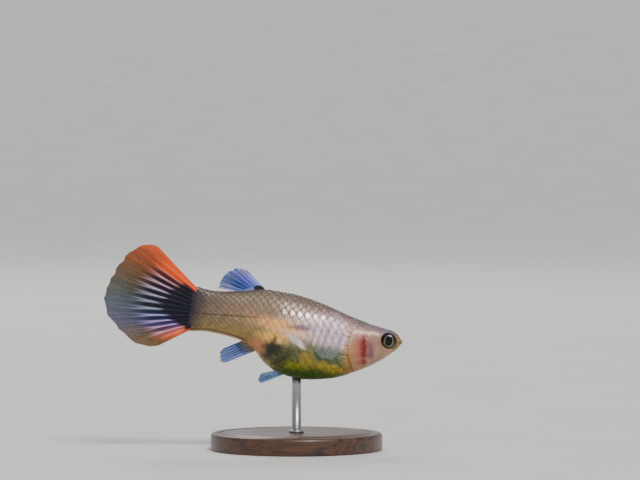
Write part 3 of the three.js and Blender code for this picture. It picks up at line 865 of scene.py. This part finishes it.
# Eyes: a full dome with a thin silver ring round a black pupil
eyeLook = {
    "rings": 40, "backRings": 12, "segments": 72, "narrow": 1.36, "bulge": (0.05, 0.5),
    "mottling": (2.5, 0.6), "uneven": 0.06,
    "iris": [
        (0.0, (3, 3, 4)), (0.65, (4, 4, 6)), (0.685, (204, 202, 192)), (0.73, (150, 146, 132)),
        (0.8, (104, 98, 86)), (0.9, (62, 56, 56)), (1.0, (26, 22, 30)),
    ],
    "smudgeAt": (0.35, 0.65), "smudge": (96, 92, 88), "smudged": 0.35,
    "upperAt": (0.0, 0.62), "upperRing": (0.66, 0.8), "upper": (0.92, (58, 44, 78)),
    "lowerAt": (0.1, -0.5), "lowerRing": (0.72, 0.86), "lower": (0.8, (118, 110, 60)),
    "silverInner": (0.65, 0.69), "silverOuter": (0.86, 0.76), "metal": 0.6,
}


def makeEyeMaterial():
    material, tree, shader = newMaterial("guppyEye", **{
        "Coat Weight": 0.45, "Coat Roughness": 0.03, "Roughness": 0.3, "Specular IOR Level": 0.1,
    })
    place = attributeNode(tree, "eyePlace")
    across, up = split(place)[:2]
    stretched = join(times(across, eyeLook["narrow"]), up)
    far = addNode("ShaderNodeVectorMath", {0: stretched}, operation="LENGTH").outputs["Value"]
    mottled = mottle(place, *eyeLook["mottling"])
    ring = wander(far, mottled[0], 1.0, eyeLook["uneven"])
    iris = ramp(ring, eyeLook["iris"])
    uneven = times(ranged(mottled[1], *eyeLook["smudgeAt"]), eyeLook["smudged"])
    colour = colourMix(uneven, iris, eyeLook["smudge"], "MULTIPLY")
    for part in ("upper", "lower"):
        mask = times(ranged(up, *eyeLook[part + "At"]), ranged(ring, *eyeLook[part + "Ring"]))
        colour = tinted(colour, mask, *eyeLook[part])
    silver = times(ranged(ring, *eyeLook["silverInner"]), ranged(ring, *eyeLook["silverOuter"]))
    fill(shader.inputs, {"Base Color": colour, "Metallic": times(silver, eyeLook["metal"])})
    return material


def buildEyes():
    material = makeEyeMaterial()
    segments, backRings = eyeLook["segments"], eyeLook["backRings"]
    bulge, bulgeWidth = eyeLook["bulge"]
    # each ring's distance from the middle and its height: the dome, with a low bulge over the pupil,
    # then the back of the eye
    rings = []
    for i in range(eyeLook["rings"] + 1):
        far = math.sin(math.pi / 2 * (i / eyeLook["rings"]))
        rings.append((far, (1 - far**3) ** 0.5 + bulge * bump(far, bulgeWidth)))
    for i in range(1, backRings + 1):
        turn = math.pi / 2 * i / backRings
        rings.append((math.cos(turn), -math.sin(turn)))
    for letter, side in (("l", 1), ("r", -1)):
        points, places = [], []
        for far, height in rings:
            y = socketDepth() + eye["halfThickness"] * height
            for j in range(segments):
                across, up = circle(far, j, segments)
                points.append((eye["s"] + eye["radius"] * across, side * y, eye["z"] + eye["radius"] * up))
                places.append((across, up, 0.0))
        faces = tubeFaces(len(rings), segments, True)
        if side < 0:
            faces = [quad[::-1] for quad in faces]
        piece = meshPiece(f"guppyEye_{letter}", inWorld(points), faces, {"eyePlace": places})
        finishPiece(piece, material, "eye", f"eye_{letter}")
    print("eyes built")


buildEyes()

# Fins: thin membranes with rays that fork, each a grid in which r runs across the rays
finThickness = {"membrane": 0.09, "ray": 0.05, "edge": 0.045}
rayShape = {
    "first": 0.2, "second": 0.09, "rootWidth": 0.13, "tipWidth": 0.06, "joint": 0.25, "jointPace": 1.9,
}
finEdge = {"scallop": 0.16, "waver": 0.8, "corner": 0.3}
rootSink = 0.45


def cornerFall(inward):
    # how much a corner of the free edge is drawn in, along a quarter circle
    u = min(max(inward, 0.0), 1.0)
    return 1 - math.sqrt(1 - (1 - u) ** 2)


def rayStrength(place, t, fork, bold):
    # place counts rays; each ray splits in two at the fork and again near the edge
    off = place - round(place)
    first = rayShape["first"] * smooth(fork - 0.06, fork + 0.35, t)
    second = rayShape["second"] * smooth(fork + 0.3, 1.05, t)
    width = mix(rayShape["rootWidth"], rayShape["tipWidth"], smooth(0, 1, t)) * bold
    return max(bump(off - a * first - b * second, width) for a in (-1, 1) for b in (-1, 1))


def buildFin(name, node, look, root, tip, bend, material, slot, mirrored=False):
    rays, rows = look["rays"], look["rows"]
    columns = (rays - 1) * look["perRay"]
    draw = random.Random(look["seed"])
    waver = [draw.uniform(-1, 1) for _ in range(rays * 2)]
    side = -1 if mirrored else 1

    def centre(r, t):
        a, b = np.array(root(r)), np.array(tip(r))
        at = a + (b - a) * t
        at[1] += bend(r, t)
        return at

    grid = np.array([[centre(j / columns, i / rows) for j in range(columns + 1)] for i in range(rows + 1)])
    # the free edge is scalloped between the rays and a little frayed
    for j in range(columns + 1):
        place = j / look["perRay"]
        between = 0.5 - 0.5 * math.cos(4 * math.pi * place)
        here = place * 2
        uneven = mix(waver[int(here) % len(waver)], waver[int(here + 1) % len(waver)], here % 1)
        inset = min(j, columns - j) / columns
        back = look["fray"] * (finEdge["scallop"] * between + finEdge["waver"] * uneven)
        back += look["round"] * cornerFall(inset / finEdge["corner"])
        grid[:, j] += (grid[0, j] - grid[:, j]) * back * np.linspace(0, 1, rows + 1)[:, None] ** 3
    normals = np.cross(np.gradient(grid, axis=0), np.gradient(grid, axis=1))
    normals /= np.linalg.norm(normals, axis=2)[:, :, None] + 1e-12
    points, places, strengths = [], [], []
    for face in (1, -1):
        for i in range(rows + 1):
            t = i / rows
            for j in range(columns + 1):
                r = j / columns
                place = r * (rays - 1)
                ray = rayStrength(place, t, look["fork"], look["bold"])
                rim = min(1.0, 0.35 + min(r, 1 - r) * columns / 3)
                plain = mix(look["rootThickness"], finThickness["membrane"], smooth(0, 0.22, t))
                plain = mix(plain, finThickness["edge"], smooth(0.6, 1, t))
                joint = 0.5 + 0.5 * math.cos(t * rows * rayShape["jointPace"])
                joints = 1 - rayShape["joint"] * joint * smooth(0.15, 0.4, t)
                half = plain / 2 * rim + finThickness["ray"] * ray * joints * mix(1.3, 0.45, t)
                at = grid[i, j] + normals[i, j] * face * half
                points.append((at[0], at[1] * side, at[2]))
                places.append((place, t, r))
                strengths.append(ray)
    size = (rows + 1) * (columns + 1)
    faces = gridFaces(rows, columns, 0, not mirrored)
    faces += gridFaces(rows, columns, size, mirrored)
    faces += rimFaces(rows, columns, 0, size, not mirrored)
    piece = meshPiece(name, inWorld(points), faces, {
        "finPlace": places, "finRay": strengths, "fishPlace": points,
    })
    finishPiece(piece, material, slot, node)


# The shared look of a fin: a membrane colour and a ray colour, mottled, clearer to the edge
finGrain = {
    "stretch": (1.1, 2.0, 4.0), "mottling": (1.2, 0.6), "fadeAt": (0.35, 1.0), "relief": (0.3, 0.00003),
}


def makeFinLook():
    inputs = {
        "Membrane": (0.5, 0.5, 0.5, 1), "Ray": (0.8, 0.8, 0.8, 1), "Ray Mask": 0.0, "Place": "Vector",
        "Ray Amount": 0.7, "Clear Root": 0.9, "Clear Edge": 0.6, "Ray Cover": 0.6,
    }
    tree, given, out = newGroup("finLook", inputs, {"Color": "Color", "Alpha": "Float", "Height": "Float"})
    place = split(given["Place"])
    mottled = mottle(stretch(given["Place"], finGrain["stretch"]), *finGrain["mottling"])
    amount = times(times(given["Ray Mask"], given["Ray Amount"]), mottled[0])
    colour = colourMix(amount, given["Membrane"], given["Ray"])
    span = minus(given["Clear Edge"], given["Clear Root"])
    alpha = plus(given["Clear Root"], times(ranged(place[1], *finGrain["fadeAt"]), span))
    solid = times(minus(1.0, alpha), given["Ray Mask"])
    alpha = plus(alpha, times(solid, given["Ray Cover"]), True)
    fill(out, {"Color": shade(mottled[0], colour), "Alpha": alpha, "Height": mottled[1]})
    return tree


finLook = makeFinLook()


def finishFin(name, look, colours):
    material, tree, shader = newMaterial(name, **{
        "Coat Weight": 0.06, "Coat Roughness": 0.2, "Roughness": 0.5, "Specular IOR Level": 0.25,
    })
    place = attributeNode(tree, "finPlace")
    membrane, ray = colours(place)
    solidRoot, solidEdge = look["solid"]
    dressed = placeGroup(finLook, {
        "Membrane": membrane, "Ray": ray, "Ray Mask": attributeNode(tree, "finRay", "Fac"), "Place": place,
        "Ray Amount": look["rayAmount"], "Clear Root": solidRoot, "Clear Edge": solidEdge,
        "Ray Cover": look["rayCover"],
    })
    fill(shader.inputs, {"Base Color": dressed["Color"], "Alpha": dressed["Alpha"]})
    addRelief(shader, dressed["Height"], *finGrain["relief"])
    return material


# The tail fan's colours from its top edge to its bottom edge: near the root, half way, and at the rim
tailPaint = {
    "near": [
        (0.0, (255, 112, 8)), (0.1, (244, 96, 10)), (0.14, (110, 40, 50)), (0.3, (44, 26, 62)),
        (0.5, (20, 34, 62)), (0.68, (34, 40, 110)), (0.8, (96, 80, 168)), (0.88, (206, 110, 110)),
        (0.94, (242, 116, 78)), (1.0, (226, 108, 62)),
    ],
    "middle": [
        (0.0, (255, 106, 6)), (0.1, (236, 92, 12)), (0.16, (124, 56, 26)), (0.26, (92, 54, 46)),
        (0.36, (46, 36, 62)), (0.46, (24, 44, 66)), (0.6, (30, 64, 78)), (0.72, (78, 82, 146)),
        (0.84, (142, 104, 120)), (0.93, (210, 112, 72)), (1.0, (178, 108, 46)),
    ],
    "outer": [
        (0.0, (240, 102, 8)), (0.1, (170, 84, 20)), (0.26, (124, 82, 32)), (0.4, (86, 84, 56)),
        (0.55, (78, 96, 104)), (0.7, (88, 88, 116)), (0.82, (112, 96, 70)), (1.0, (136, 98, 38)),
    ],
    "ray": [
        (0.0, (255, 132, 50)), (0.12, (240, 150, 110)), (0.22, (226, 176, 186)), (0.4, (206, 190, 222)),
        (0.56, (178, 186, 210)), (0.7, (196, 184, 246)), (0.84, (246, 188, 214)), (0.92, (255, 156, 130)),
        (1.0, (236, 140, 86)),
    ],
    "rimRay": [
        (0.0, (240, 112, 22)), (0.25, (150, 100, 50)), (0.45, (114, 118, 114)), (0.65, (126, 120, 152)),
        (0.85, (140, 112, 84)), (1.0, (150, 106, 44)),
    ],
    "navy": ((12, 14, 34), (30, 28, 74)), "navyAt": (0.35, 0.7), "blot": (0.85, (12, 18, 40)),
    "noise": (2.6, 3.0), "drift": 0.22, "sideDrift": 0.35,
    "toMiddle": (0.26, 0.46), "toOuter": (0.5, 0.78), "toRim": (0.46, 0.76),
    "blotsOut": (0.68, 0.5), "blotsAside": (0.42, 0.26), "blotsIn": (0.38, 0.55), "betweenRays": (0.5, 0.1),
}
# the dark crescent at the tail's root: how far it reaches in the middle, and how it falls off to each side
crescentShape = {
    "reach": 0.38, "fall": 0.46, "lowerFall": 0.07, "lowerAt": (0.6, 0.9), "softness": 0.05,
    "topEdge": (0.06, 0.13), "bottomEdge": (0.99, 0.93), "onRays": 0.97,
}


def tailColours(place):
    t, r = split(place)[1:]
    wobble = noise(place, *tailPaint["noise"])
    drift = times(minus(wobble, 0.5), tailPaint["drift"])
    along = plus(t, drift)
    down = plus(r, times(drift, tailPaint["sideDrift"]))
    near, middle, outer, ray, rimRay = [
        ramp(down, tailPaint[part]) for part in ("near", "middle", "outer", "ray", "rimRay")
    ]
    membrane = colourMix(ranged(along, *tailPaint["toMiddle"]), near, middle)
    membrane = colourMix(ranged(along, *tailPaint["toOuter"]), membrane, outer)
    ray = colourMix(ranged(along, *tailPaint["toRim"]), ray, rimRay)
    fromMiddle = mathNode("ABSOLUTE", minus(r, 0.5))
    reach = minus(crescentShape["reach"], times(fromMiddle, crescentShape["fall"]))
    reach = minus(reach, times(ranged(r, *crescentShape["lowerAt"]), crescentShape["lowerFall"]))
    soft = crescentShape["softness"]
    crescent = ranged(minus(along, reach), soft, -soft)
    edges = times(ranged(r, *crescentShape["topEdge"]), ranged(r, *crescentShape["bottomEdge"]))
    crescent = times(crescent, edges)
    navy = colourMix(ranged(wobble, *tailPaint["navyAt"]), *tailPaint["navy"])
    membrane = colourMix(crescent, membrane, navy)
    ray = colourMix(times(crescent, crescentShape["onRays"]), ray, navy)
    # blots between the rays out to two thirds of the fan
    between = ranged(attributeNode(place.id_data, "finRay", "Fac"), *tailPaint["betweenRays"])
    blots = times(between, ranged(along, *tailPaint["blotsOut"]))
    blots = times(blots, ranged(fromMiddle, *tailPaint["blotsAside"]))
    blots = times(blots, ranged(wobble, *tailPaint["blotsIn"]))
    return tinted(membrane, blots, *tailPaint["blot"]), ray


dorsalPaint = {
    "membrane": [
        (0.0, (170, 172, 240)), (0.14, (128, 132, 226)), (0.4, (88, 98, 196)), (0.62, (46, 74, 146)),
        (0.8, (40, 78, 122)), (1.0, (120, 130, 208)),
    ],
    "ray": [(0.0, (226, 222, 252)), (0.35, (160, 160, 248)), (0.7, (84, 128, 200)), (1.0, (206, 200, 252))],
    "noise": (3.0, 3.0), "wander": 0.3, "edgeAt": (0.5, 0.95), "edge": (28, 78, 128),
    "lineFoot": (0.26, 0.14), "lineBack": (0.3, 0.5), "rootLine": (0.8, (176, 184, 246)),
    "spot": (26.0, 5.35, 1.0, 0.55, -0.12, 0.08, 0.25), "black": (8, 8, 14), "blackRay": (10, 10, 18),
}


def dorsalColours(place):
    t, r = split(place)[1:]
    back = wander(r, noise(place, *dorsalPaint["noise"]), 0.5, dorsalPaint["wander"])
    membrane = ramp(back, dorsalPaint["membrane"])
    membrane = colourMix(ranged(t, *dorsalPaint["edgeAt"]), membrane, dorsalPaint["edge"])
    # a pale line along the root, behind the black spot at its front
    rootLine = times(ranged(t, *dorsalPaint["lineFoot"]), ranged(r, *dorsalPaint["lineBack"]))
    membrane = tinted(membrane, rootLine, *dorsalPaint["rootLine"])
    spot = patchMask(attributeNode(place.id_data, "fishPlace"), dorsalPaint["spot"])
    ray = colourMix(spot, ramp(back, dorsalPaint["ray"]), dorsalPaint["blackRay"])
    return colourMix(spot, membrane, dorsalPaint["black"]), ray


analPaint = {
    "membrane": [
        (0.0, (190, 150, 118)), (0.2, (150, 150, 156)), (0.36, (64, 92, 136)), (0.6, (44, 84, 142)),
        (1.0, (52, 96, 140)),
    ],
    "ray": [
        (0.0, (206, 160, 120)), (0.12, (20, 22, 34)), (0.32, (22, 30, 54)), (0.46, (164, 176, 236)),
        (1.0, (120, 150, 214)),
    ],
    "leadingFront": (0.34, 0.05), "leadingOut": (0.1, 0.3), "leading": (0.75, (142, 146, 214)),
}


def analColours(place):
    t, r = split(place)[1:]
    leading = times(ranged(r, *analPaint["leadingFront"]), ranged(t, *analPaint["leadingOut"]))
    membrane = tinted(ramp(t, analPaint["membrane"]), leading, *analPaint["leading"])
    return membrane, ramp(t, analPaint["ray"])


pelvicPaint = {
    "membrane": [
        (0.0, (168, 194, 236)), (0.16, (96, 138, 196)), (0.34, (46, 86, 138)), (0.7, (40, 84, 126)),
        (1.0, (104, 144, 184)),
    ],
    "ray": [(0.0, (150, 150, 130)), (0.3, (190, 214, 250)), (1.0, (150, 186, 232))],
    "noise": (2.2, 3.0), "wander": 0.3,
}


def pelvicColours(place):
    t, r = split(place)[1:]
    back = wander(r, noise(place, *pelvicPaint["noise"]), 0.5, pelvicPaint["wander"])
    return ramp(back, pelvicPaint["membrane"]), ramp(t, pelvicPaint["ray"])


def pectoralColours(place):
    # nearly clear, so the shared mottling is enough
    return paint(pectoralFin["membrane"]), paint(pectoralFin["ray"])


tailFin = {
    "rays": 15, "rows": 84, "perRay": 12, "fork": 0.42, "rootThickness": 1.3, "fray": 0.02, "round": 0.0,
    "bold": 1.1, "seed": 3, "centreS": 31.8, "topAngle": 37.4, "bottomAngle": -36.5, "rootHeight": 3.75,
    "wave": 1.3, "phase": 0.4, "turn": 2.6, "cornerRound": 1.7, "cornerShare": 0.13,
    "rayAmount": 0.95, "solid": (0.98, 0.72), "rayCover": 0.6,
}
fanReach = profile([
    [0, 17.4], [0.12, 18.7], [0.3, 19.8], [0.5, 20.6], [0.62, 20.2], [0.72, 18.5], [0.86, 16.3], [1, 13.7],
])


def buildTailFin():
    def root(r):
        return bodyEnd - 0.3, 0.0, mix(tailFin["rootHeight"], -tailFin["rootHeight"], r)

    def tip(r):
        angle = math.radians(mix(tailFin["topAngle"], tailFin["bottomAngle"], r))
        reach = fanReach(r) - tailFin["cornerRound"] * cornerFall(min(r, 1 - r) / tailFin["cornerShare"])
        return tailFin["centreS"] + reach * math.cos(angle), 0.0, reach * math.sin(angle)

    def bend(r, t):
        return tailFin["wave"] * t * t * math.sin(tailFin["phase"] + tailFin["turn"] * r)

    material = finishFin("tailFan", tailFin, tailColours)
    buildFin("guppyTailFin", "fin_caudal", tailFin, root, tip, bend, material, "tail_membrane")


dorsalFin = {
    "rays": 8, "rows": 60, "perRay": 12, "fork": 0.5, "rootThickness": 0.4, "fray": 0.04, "round": 0.08,
    "bold": 1.6, "seed": 8, "frontS": 24.3, "rearS": 28.0, "lean": 0.35,
    "tipS": profile([[0, 28.8], [0.3, 30.4], [0.6, 32.1], [1, 33.3]]),
    "tipZ": profile([[0, 8.45], [0.3, 8.15], [0.6, 6.95], [1, 4.3]]),
    "rayAmount": 0.85, "solid": (0.96, 0.66), "rayCover": 0.6,
}
analFin = {
    "rays": 7, "rows": 56, "perRay": 14, "fork": 0.5, "rootThickness": 0.45, "fray": 0.07, "round": 0.13,
    "bold": 1.7, "seed": 9, "frontS": 24.6, "rearS": 27.0, "lean": -0.3,
    "tipS": profile([[0, 30.1], [0.5, 30.7], [1, 30.9]]),
    "tipZ": profile([[0, -8.65], [0.5, -7.8], [1, -6.2]]),
    "rayAmount": 0.9, "solid": (0.95, 0.7), "rayCover": 0.6,
}


def buildMiddleFin(name, node, look, edgeLine, rise, material):
    # a fin on the middle line, rooted on the back or the belly
    def root(r):
        s = mix(look["frontS"], look["rearS"], r)
        return s, 0.0, edgeLine(s) + rise

    def tip(r):
        return look["tipS"](r), 0.0, look["tipZ"](r)

    def bend(r, t):
        return look["lean"] * t * t

    buildFin(name, node, look, root, tip, bend, material, "fin_membrane")


def buildPair(name, node, look, root, tip, bend, material, slot):
    for letter, mirrored in (("l", False), ("r", True)):
        buildFin(f"{name}_{letter}", f"{node}_{letter}", look, root, tip, bend, material, slot, mirrored)


pelvicFin = {
    "rays": 5, "rows": 44, "perRay": 14, "fork": 0.6, "rootThickness": 0.4, "fray": 0.06, "round": 0.2,
    "bold": 1.7, "seed": 4, "frontS": 18.9, "rearS": 20.3, "y": 0.75, "tipY": 1.9, "splay": 0.5,
    "tipS": (23.1, 23.7), "tipZ": (-10.95, -9.5), "rayAmount": 1.0, "solid": (0.9, 0.62), "rayCover": 0.6,
}


def buildPelvicFins():
    def root(r):
        s = mix(pelvicFin["frontS"], pelvicFin["rearS"], r)
        return s, pelvicFin["y"] + pelvicFin["splay"] * r, bellyLine(s) + rootSink

    def tip(r):
        y = pelvicFin["tipY"] + pelvicFin["splay"] * r
        return mix(*pelvicFin["tipS"], r), y, mix(*pelvicFin["tipZ"], r)

    def bend(r, t):
        return 0.0

    material = finishFin("pelvicFin", pelvicFin, pelvicColours)
    buildPair("guppyPelvicFin", "fin_pelvic", pelvicFin, root, tip, bend, material, "fin_membrane")


pectoralFin = {
    "rays": 12, "rows": 48, "perRay": 10, "fork": 0.5, "rootThickness": 0.35, "fray": 0.04, "round": 0.06,
    "bold": 1.0, "seed": 6, "rootS": (9.9, 10.1), "rootZ": (-0.3, -1.9), "lift": 1.7, "bow": 0.45,
    "membrane": (206, 194, 204), "ray": (244, 234, 242),
    "rayAmount": 0.95, "solid": (0.1, 0.04), "rayCover": 0.1,
    "tipS": profile([[0, 15.2], [0.35, 15], [0.7, 13.3], [1, 11.3]]),
    "tipZ": profile([[0, -1.5], [0.35, -3.1], [0.7, -4.5], [1, -4.7]]),
}


def buildPectoralFins():
    def root(r):
        s, z = mix(*pectoralFin["rootS"], r), mix(*pectoralFin["rootZ"], r)
        return s, widthAt(s, z) - rootSink, z

    def tip(r):
        s, z = pectoralFin["tipS"](r), pectoralFin["tipZ"](r)
        return s, widthAt(s, z) + pectoralFin["lift"], z

    def bend(r, t):
        return pectoralFin["bow"] * math.sin(math.pi * t)

    material = finishFin("pectoralFin", pectoralFin, pectoralColours)
    buildPair("guppyPectoralFin", "fin_pectoral", pectoralFin, root, tip, bend, material, "clear_membrane")


buildTailFin()
dorsalLook = finishFin("dorsalFin", dorsalFin, dorsalColours)
buildMiddleFin("guppyDorsalFin", "fin_dorsal", dorsalFin, backLine, -rootSink, dorsalLook)
analLook = finishFin("analFin", analFin, analColours)
buildMiddleFin("guppyAnalFin", "fin_anal", analFin, bellyLine, rootSink, analLook)
buildPelvicFins()
buildPectoralFins()
print("fins built")

# The stand: a turned walnut base and a satin steel rod
standLook = {"radius": 15.0, "thickness": 3.0, "bevel": 0.6, "rodRadius": 0.8, "segments": 160}
walnut = {
    "grain": (90.0, 900.0, 900.0), "lie": (0.06, 0.1, 0.3), "pores": (400.0, 5200.0, 5200.0),
    "colours": [(0.28, (52, 32, 22)), (0.46, (86, 56, 38)), (0.56, (112, 76, 52)), (0.72, (70, 44, 30))],
    "pore": (0.6, (34, 20, 14)), "rough": (0.36, 0.5),
}
steel = {"lines": (900.0, 900.0, 16000.0), "colour": (186, 188, 190), "rough": (0.24, 0.38)}


def lathePiece(name, outline, segments):
    points = []
    for radius, height in outline:
        for j in range(segments):
            x, y = circle(radius, j, segments)
            points.append((x * mm, y * mm, height * mm))
    faces = tubeFaces(len(outline), segments, True)
    last = (len(outline) - 1) * segments
    faces += [tuple(range(segments))[::-1], tuple(range(last, last + segments))]
    return meshPiece(name, points, faces)


def makeWalnut():
    material, tree, shader = newMaterial("turnedWalnut", **{"Coat Weight": 0.35, "Coat Roughness": 0.22})
    place = objectPlace(tree)
    grain = noise(stretch(place, walnut["grain"], walnut["lie"]), 1.0, 8.0, 0.8)
    pores = noise(stretch(place, walnut["pores"]), 1.0, 3.0)
    colour = ramp(grain, walnut["colours"])
    fill(shader.inputs, {
        "Base Color": tinted(colour, ranged(pores, 0.58, 0.72), *walnut["pore"]),
        "Roughness": ranged(grain, 0.3, 0.7, *walnut["rough"]),
    })
    addRelief(shader, pores, 0.2, 0.00005)
    return material


def makeSteel():
    material, tree, shader = newMaterial("satinSteel", **{"Metallic": 1.0})
    place = objectPlace(tree)
    lines = mottle(stretch(place, steel["lines"]), 1.0, 0.5)
    fill(shader.inputs, {
        "Base Color": shade(lines["Value"], paint(steel["colour"])),
        "Roughness": ranged(lines["Fine"], 0.3, 0.7, *steel["rough"]),
    })
    addRelief(shader, lines["Fine"], 0.1, 0.00002)
    return material


def buildStand():
    radius, thick, bevel = standLook["radius"], standLook["thickness"], standLook["bevel"]
    foot = bevel * 0.5
    outline = [(radius - 1.4, 0.0), (radius - foot, 0.0)]
    for i in range(7):
        turn = math.pi / 2 * i / 6
        outline.append((radius - foot + foot * math.sin(turn), foot * (1 - math.cos(turn))))
    for i in range(9):
        turn = math.pi / 2 * i / 8
        outline.append((radius - bevel + bevel * math.cos(turn), thick - bevel + bevel * math.sin(turn)))
    # a fine groove turned into the top, near its rim
    for i in range(13):
        across = i / 12
        outline.append((radius - 1.5 - 0.5 * across, thick - 0.16 * math.sin(math.pi * across)))
    outline += [(8.0, thick), (1.6, thick), (0.9, thick - 0.05)]
    base = lathePiece("standBasePiece", outline, standLook["segments"])
    finishPiece(base, makeWalnut(), "base", "stand_base")
    # a rod with a small collar where it meets the base
    rod, top = standLook["rodRadius"], pose["bellyHeight"]
    rodOutline = [
        (rod, thick - 0.1), (rod + 0.5, thick), (rod + 0.5, thick + 0.35), (rod + 0.36, thick + 0.5),
        (rod, thick + 0.56), (rod, top - 1.2), (rod, top + 0.25),
    ]
    finishPiece(lathePiece("standRodPiece", rodOutline, 48), makeSteel(), "rod", "stand_rod")
    print("stand built")


buildStand()

# Floor, lights and camera
stageLook = {
    "flatTo": 1.2, "radius": 5.0, "rise": 1.6,  # the floor curves up far from the stand
    "floor": [(0.3, (222, 221, 219)), (0.7, (228, 227, 225))],
    "cameraAway": 600.0, "viewWide": 111.68, "lookX": 4.10, "lookZ": 36.64, "tilt": 1.2,
    "sun": 1.5, "sunAngle": 24, "sunWay": (-0.3, 0.65, -0.95),
    "sky": (0.86, 0.87, 0.88, 1), "skyStrength": 0.5,
}


def makeFloor():
    segments, steps = 96, 40
    points, faces = [(0.0, 0.0, 0.0)], []
    for i in range(1, steps + 1):
        radius = stageLook["radius"] * (i / steps) ** 2
        past = max(0.0, radius - stageLook["flatTo"]) / (stageLook["radius"] - stageLook["flatTo"])
        height = stageLook["rise"] * past * past
        points += [(*circle(radius, j, segments), height) for j in range(segments)]
    for j in range(segments):
        k = (j + 1) % segments
        faces.append((0, 1 + j, 1 + k))
        for i in range(steps - 1):
            a, b = 1 + i * segments, 1 + (i + 1) * segments
            faces.append((a + j, b + j, b + k, a + k))
    floor = meshPiece("studioFloor", points, faces)
    material, tree, shader = newMaterial("paleFloor", **{"Roughness": 0.7})
    place = objectPlace(tree)
    fromBelow = addNode("ShaderNodeNewGeometry", {}, tree).outputs["Backfacing"]  # open to a look from below
    fill(shader.inputs, {
        "Base Color": ramp(noise(place, 40.0, 4.0), stageLook["floor"]),
        "Alpha": minus(1.0, fromBelow),
    })
    floor.data.materials.append(material)


def addObject(name, data, place, direction):
    thing = bpy.data.objects.new(name, data)
    bpy.context.scene.collection.objects.link(thing)
    thing.location = place
    thing.rotation_euler = direction.to_track_quat("-Z", "Y").to_euler()
    return thing


def addLight(name, place, target, size, power, tint=(1, 1, 1)):
    light = bpy.data.lights.new(name, "AREA")
    light.shape = "DISK"
    light.size = size
    light.energy = power
    light.color = tint
    addObject(name, light, place, Vector(target) - Vector(place))


def addStudio():
    middle = (0.0, 0.0, 0.02)
    sun = bpy.data.lights.new("softSun", "SUN")
    sun.energy, sun.angle = stageLook["sun"], math.radians(stageLook["sunAngle"])
    addObject("softSun", sun, (0, 0, 0), Vector(stageLook["sunWay"]))
    addLight("keyLight", (0.3, -0.75, 1.0), middle, 0.5, 5.0, (1.0, 0.98, 0.95))
    addLight("rimLight", (-0.25, 0.9, 0.8), middle, 0.5, 4.0)
    world = bpy.data.worlds.new("softStudio")
    bpy.context.scene.world = world
    world.use_nodes = True
    sky = world.node_tree.nodes["Background"].inputs
    fill(sky, {"Color": stageLook["sky"], "Strength": stageLook["skyStrength"]})


def addCamera():
    camera = bpy.data.cameras.new("photoCamera")
    camera.sensor_width = 36
    away = stageLook["cameraAway"]
    camera.lens = camera.sensor_width * away / stageLook["viewWide"]
    camera.clip_start, camera.clip_end = 0.01, 20
    target = Vector((stageLook["lookX"], 0, stageLook["lookZ"])) * mm
    tilt = math.radians(stageLook["tilt"])
    place = target + Vector((0, -math.cos(tilt), math.sin(tilt))) * away * mm
    bpy.context.scene.camera = addObject("photoCamera", camera, place, target - place)


makeFloor()
addStudio()
addCamera()
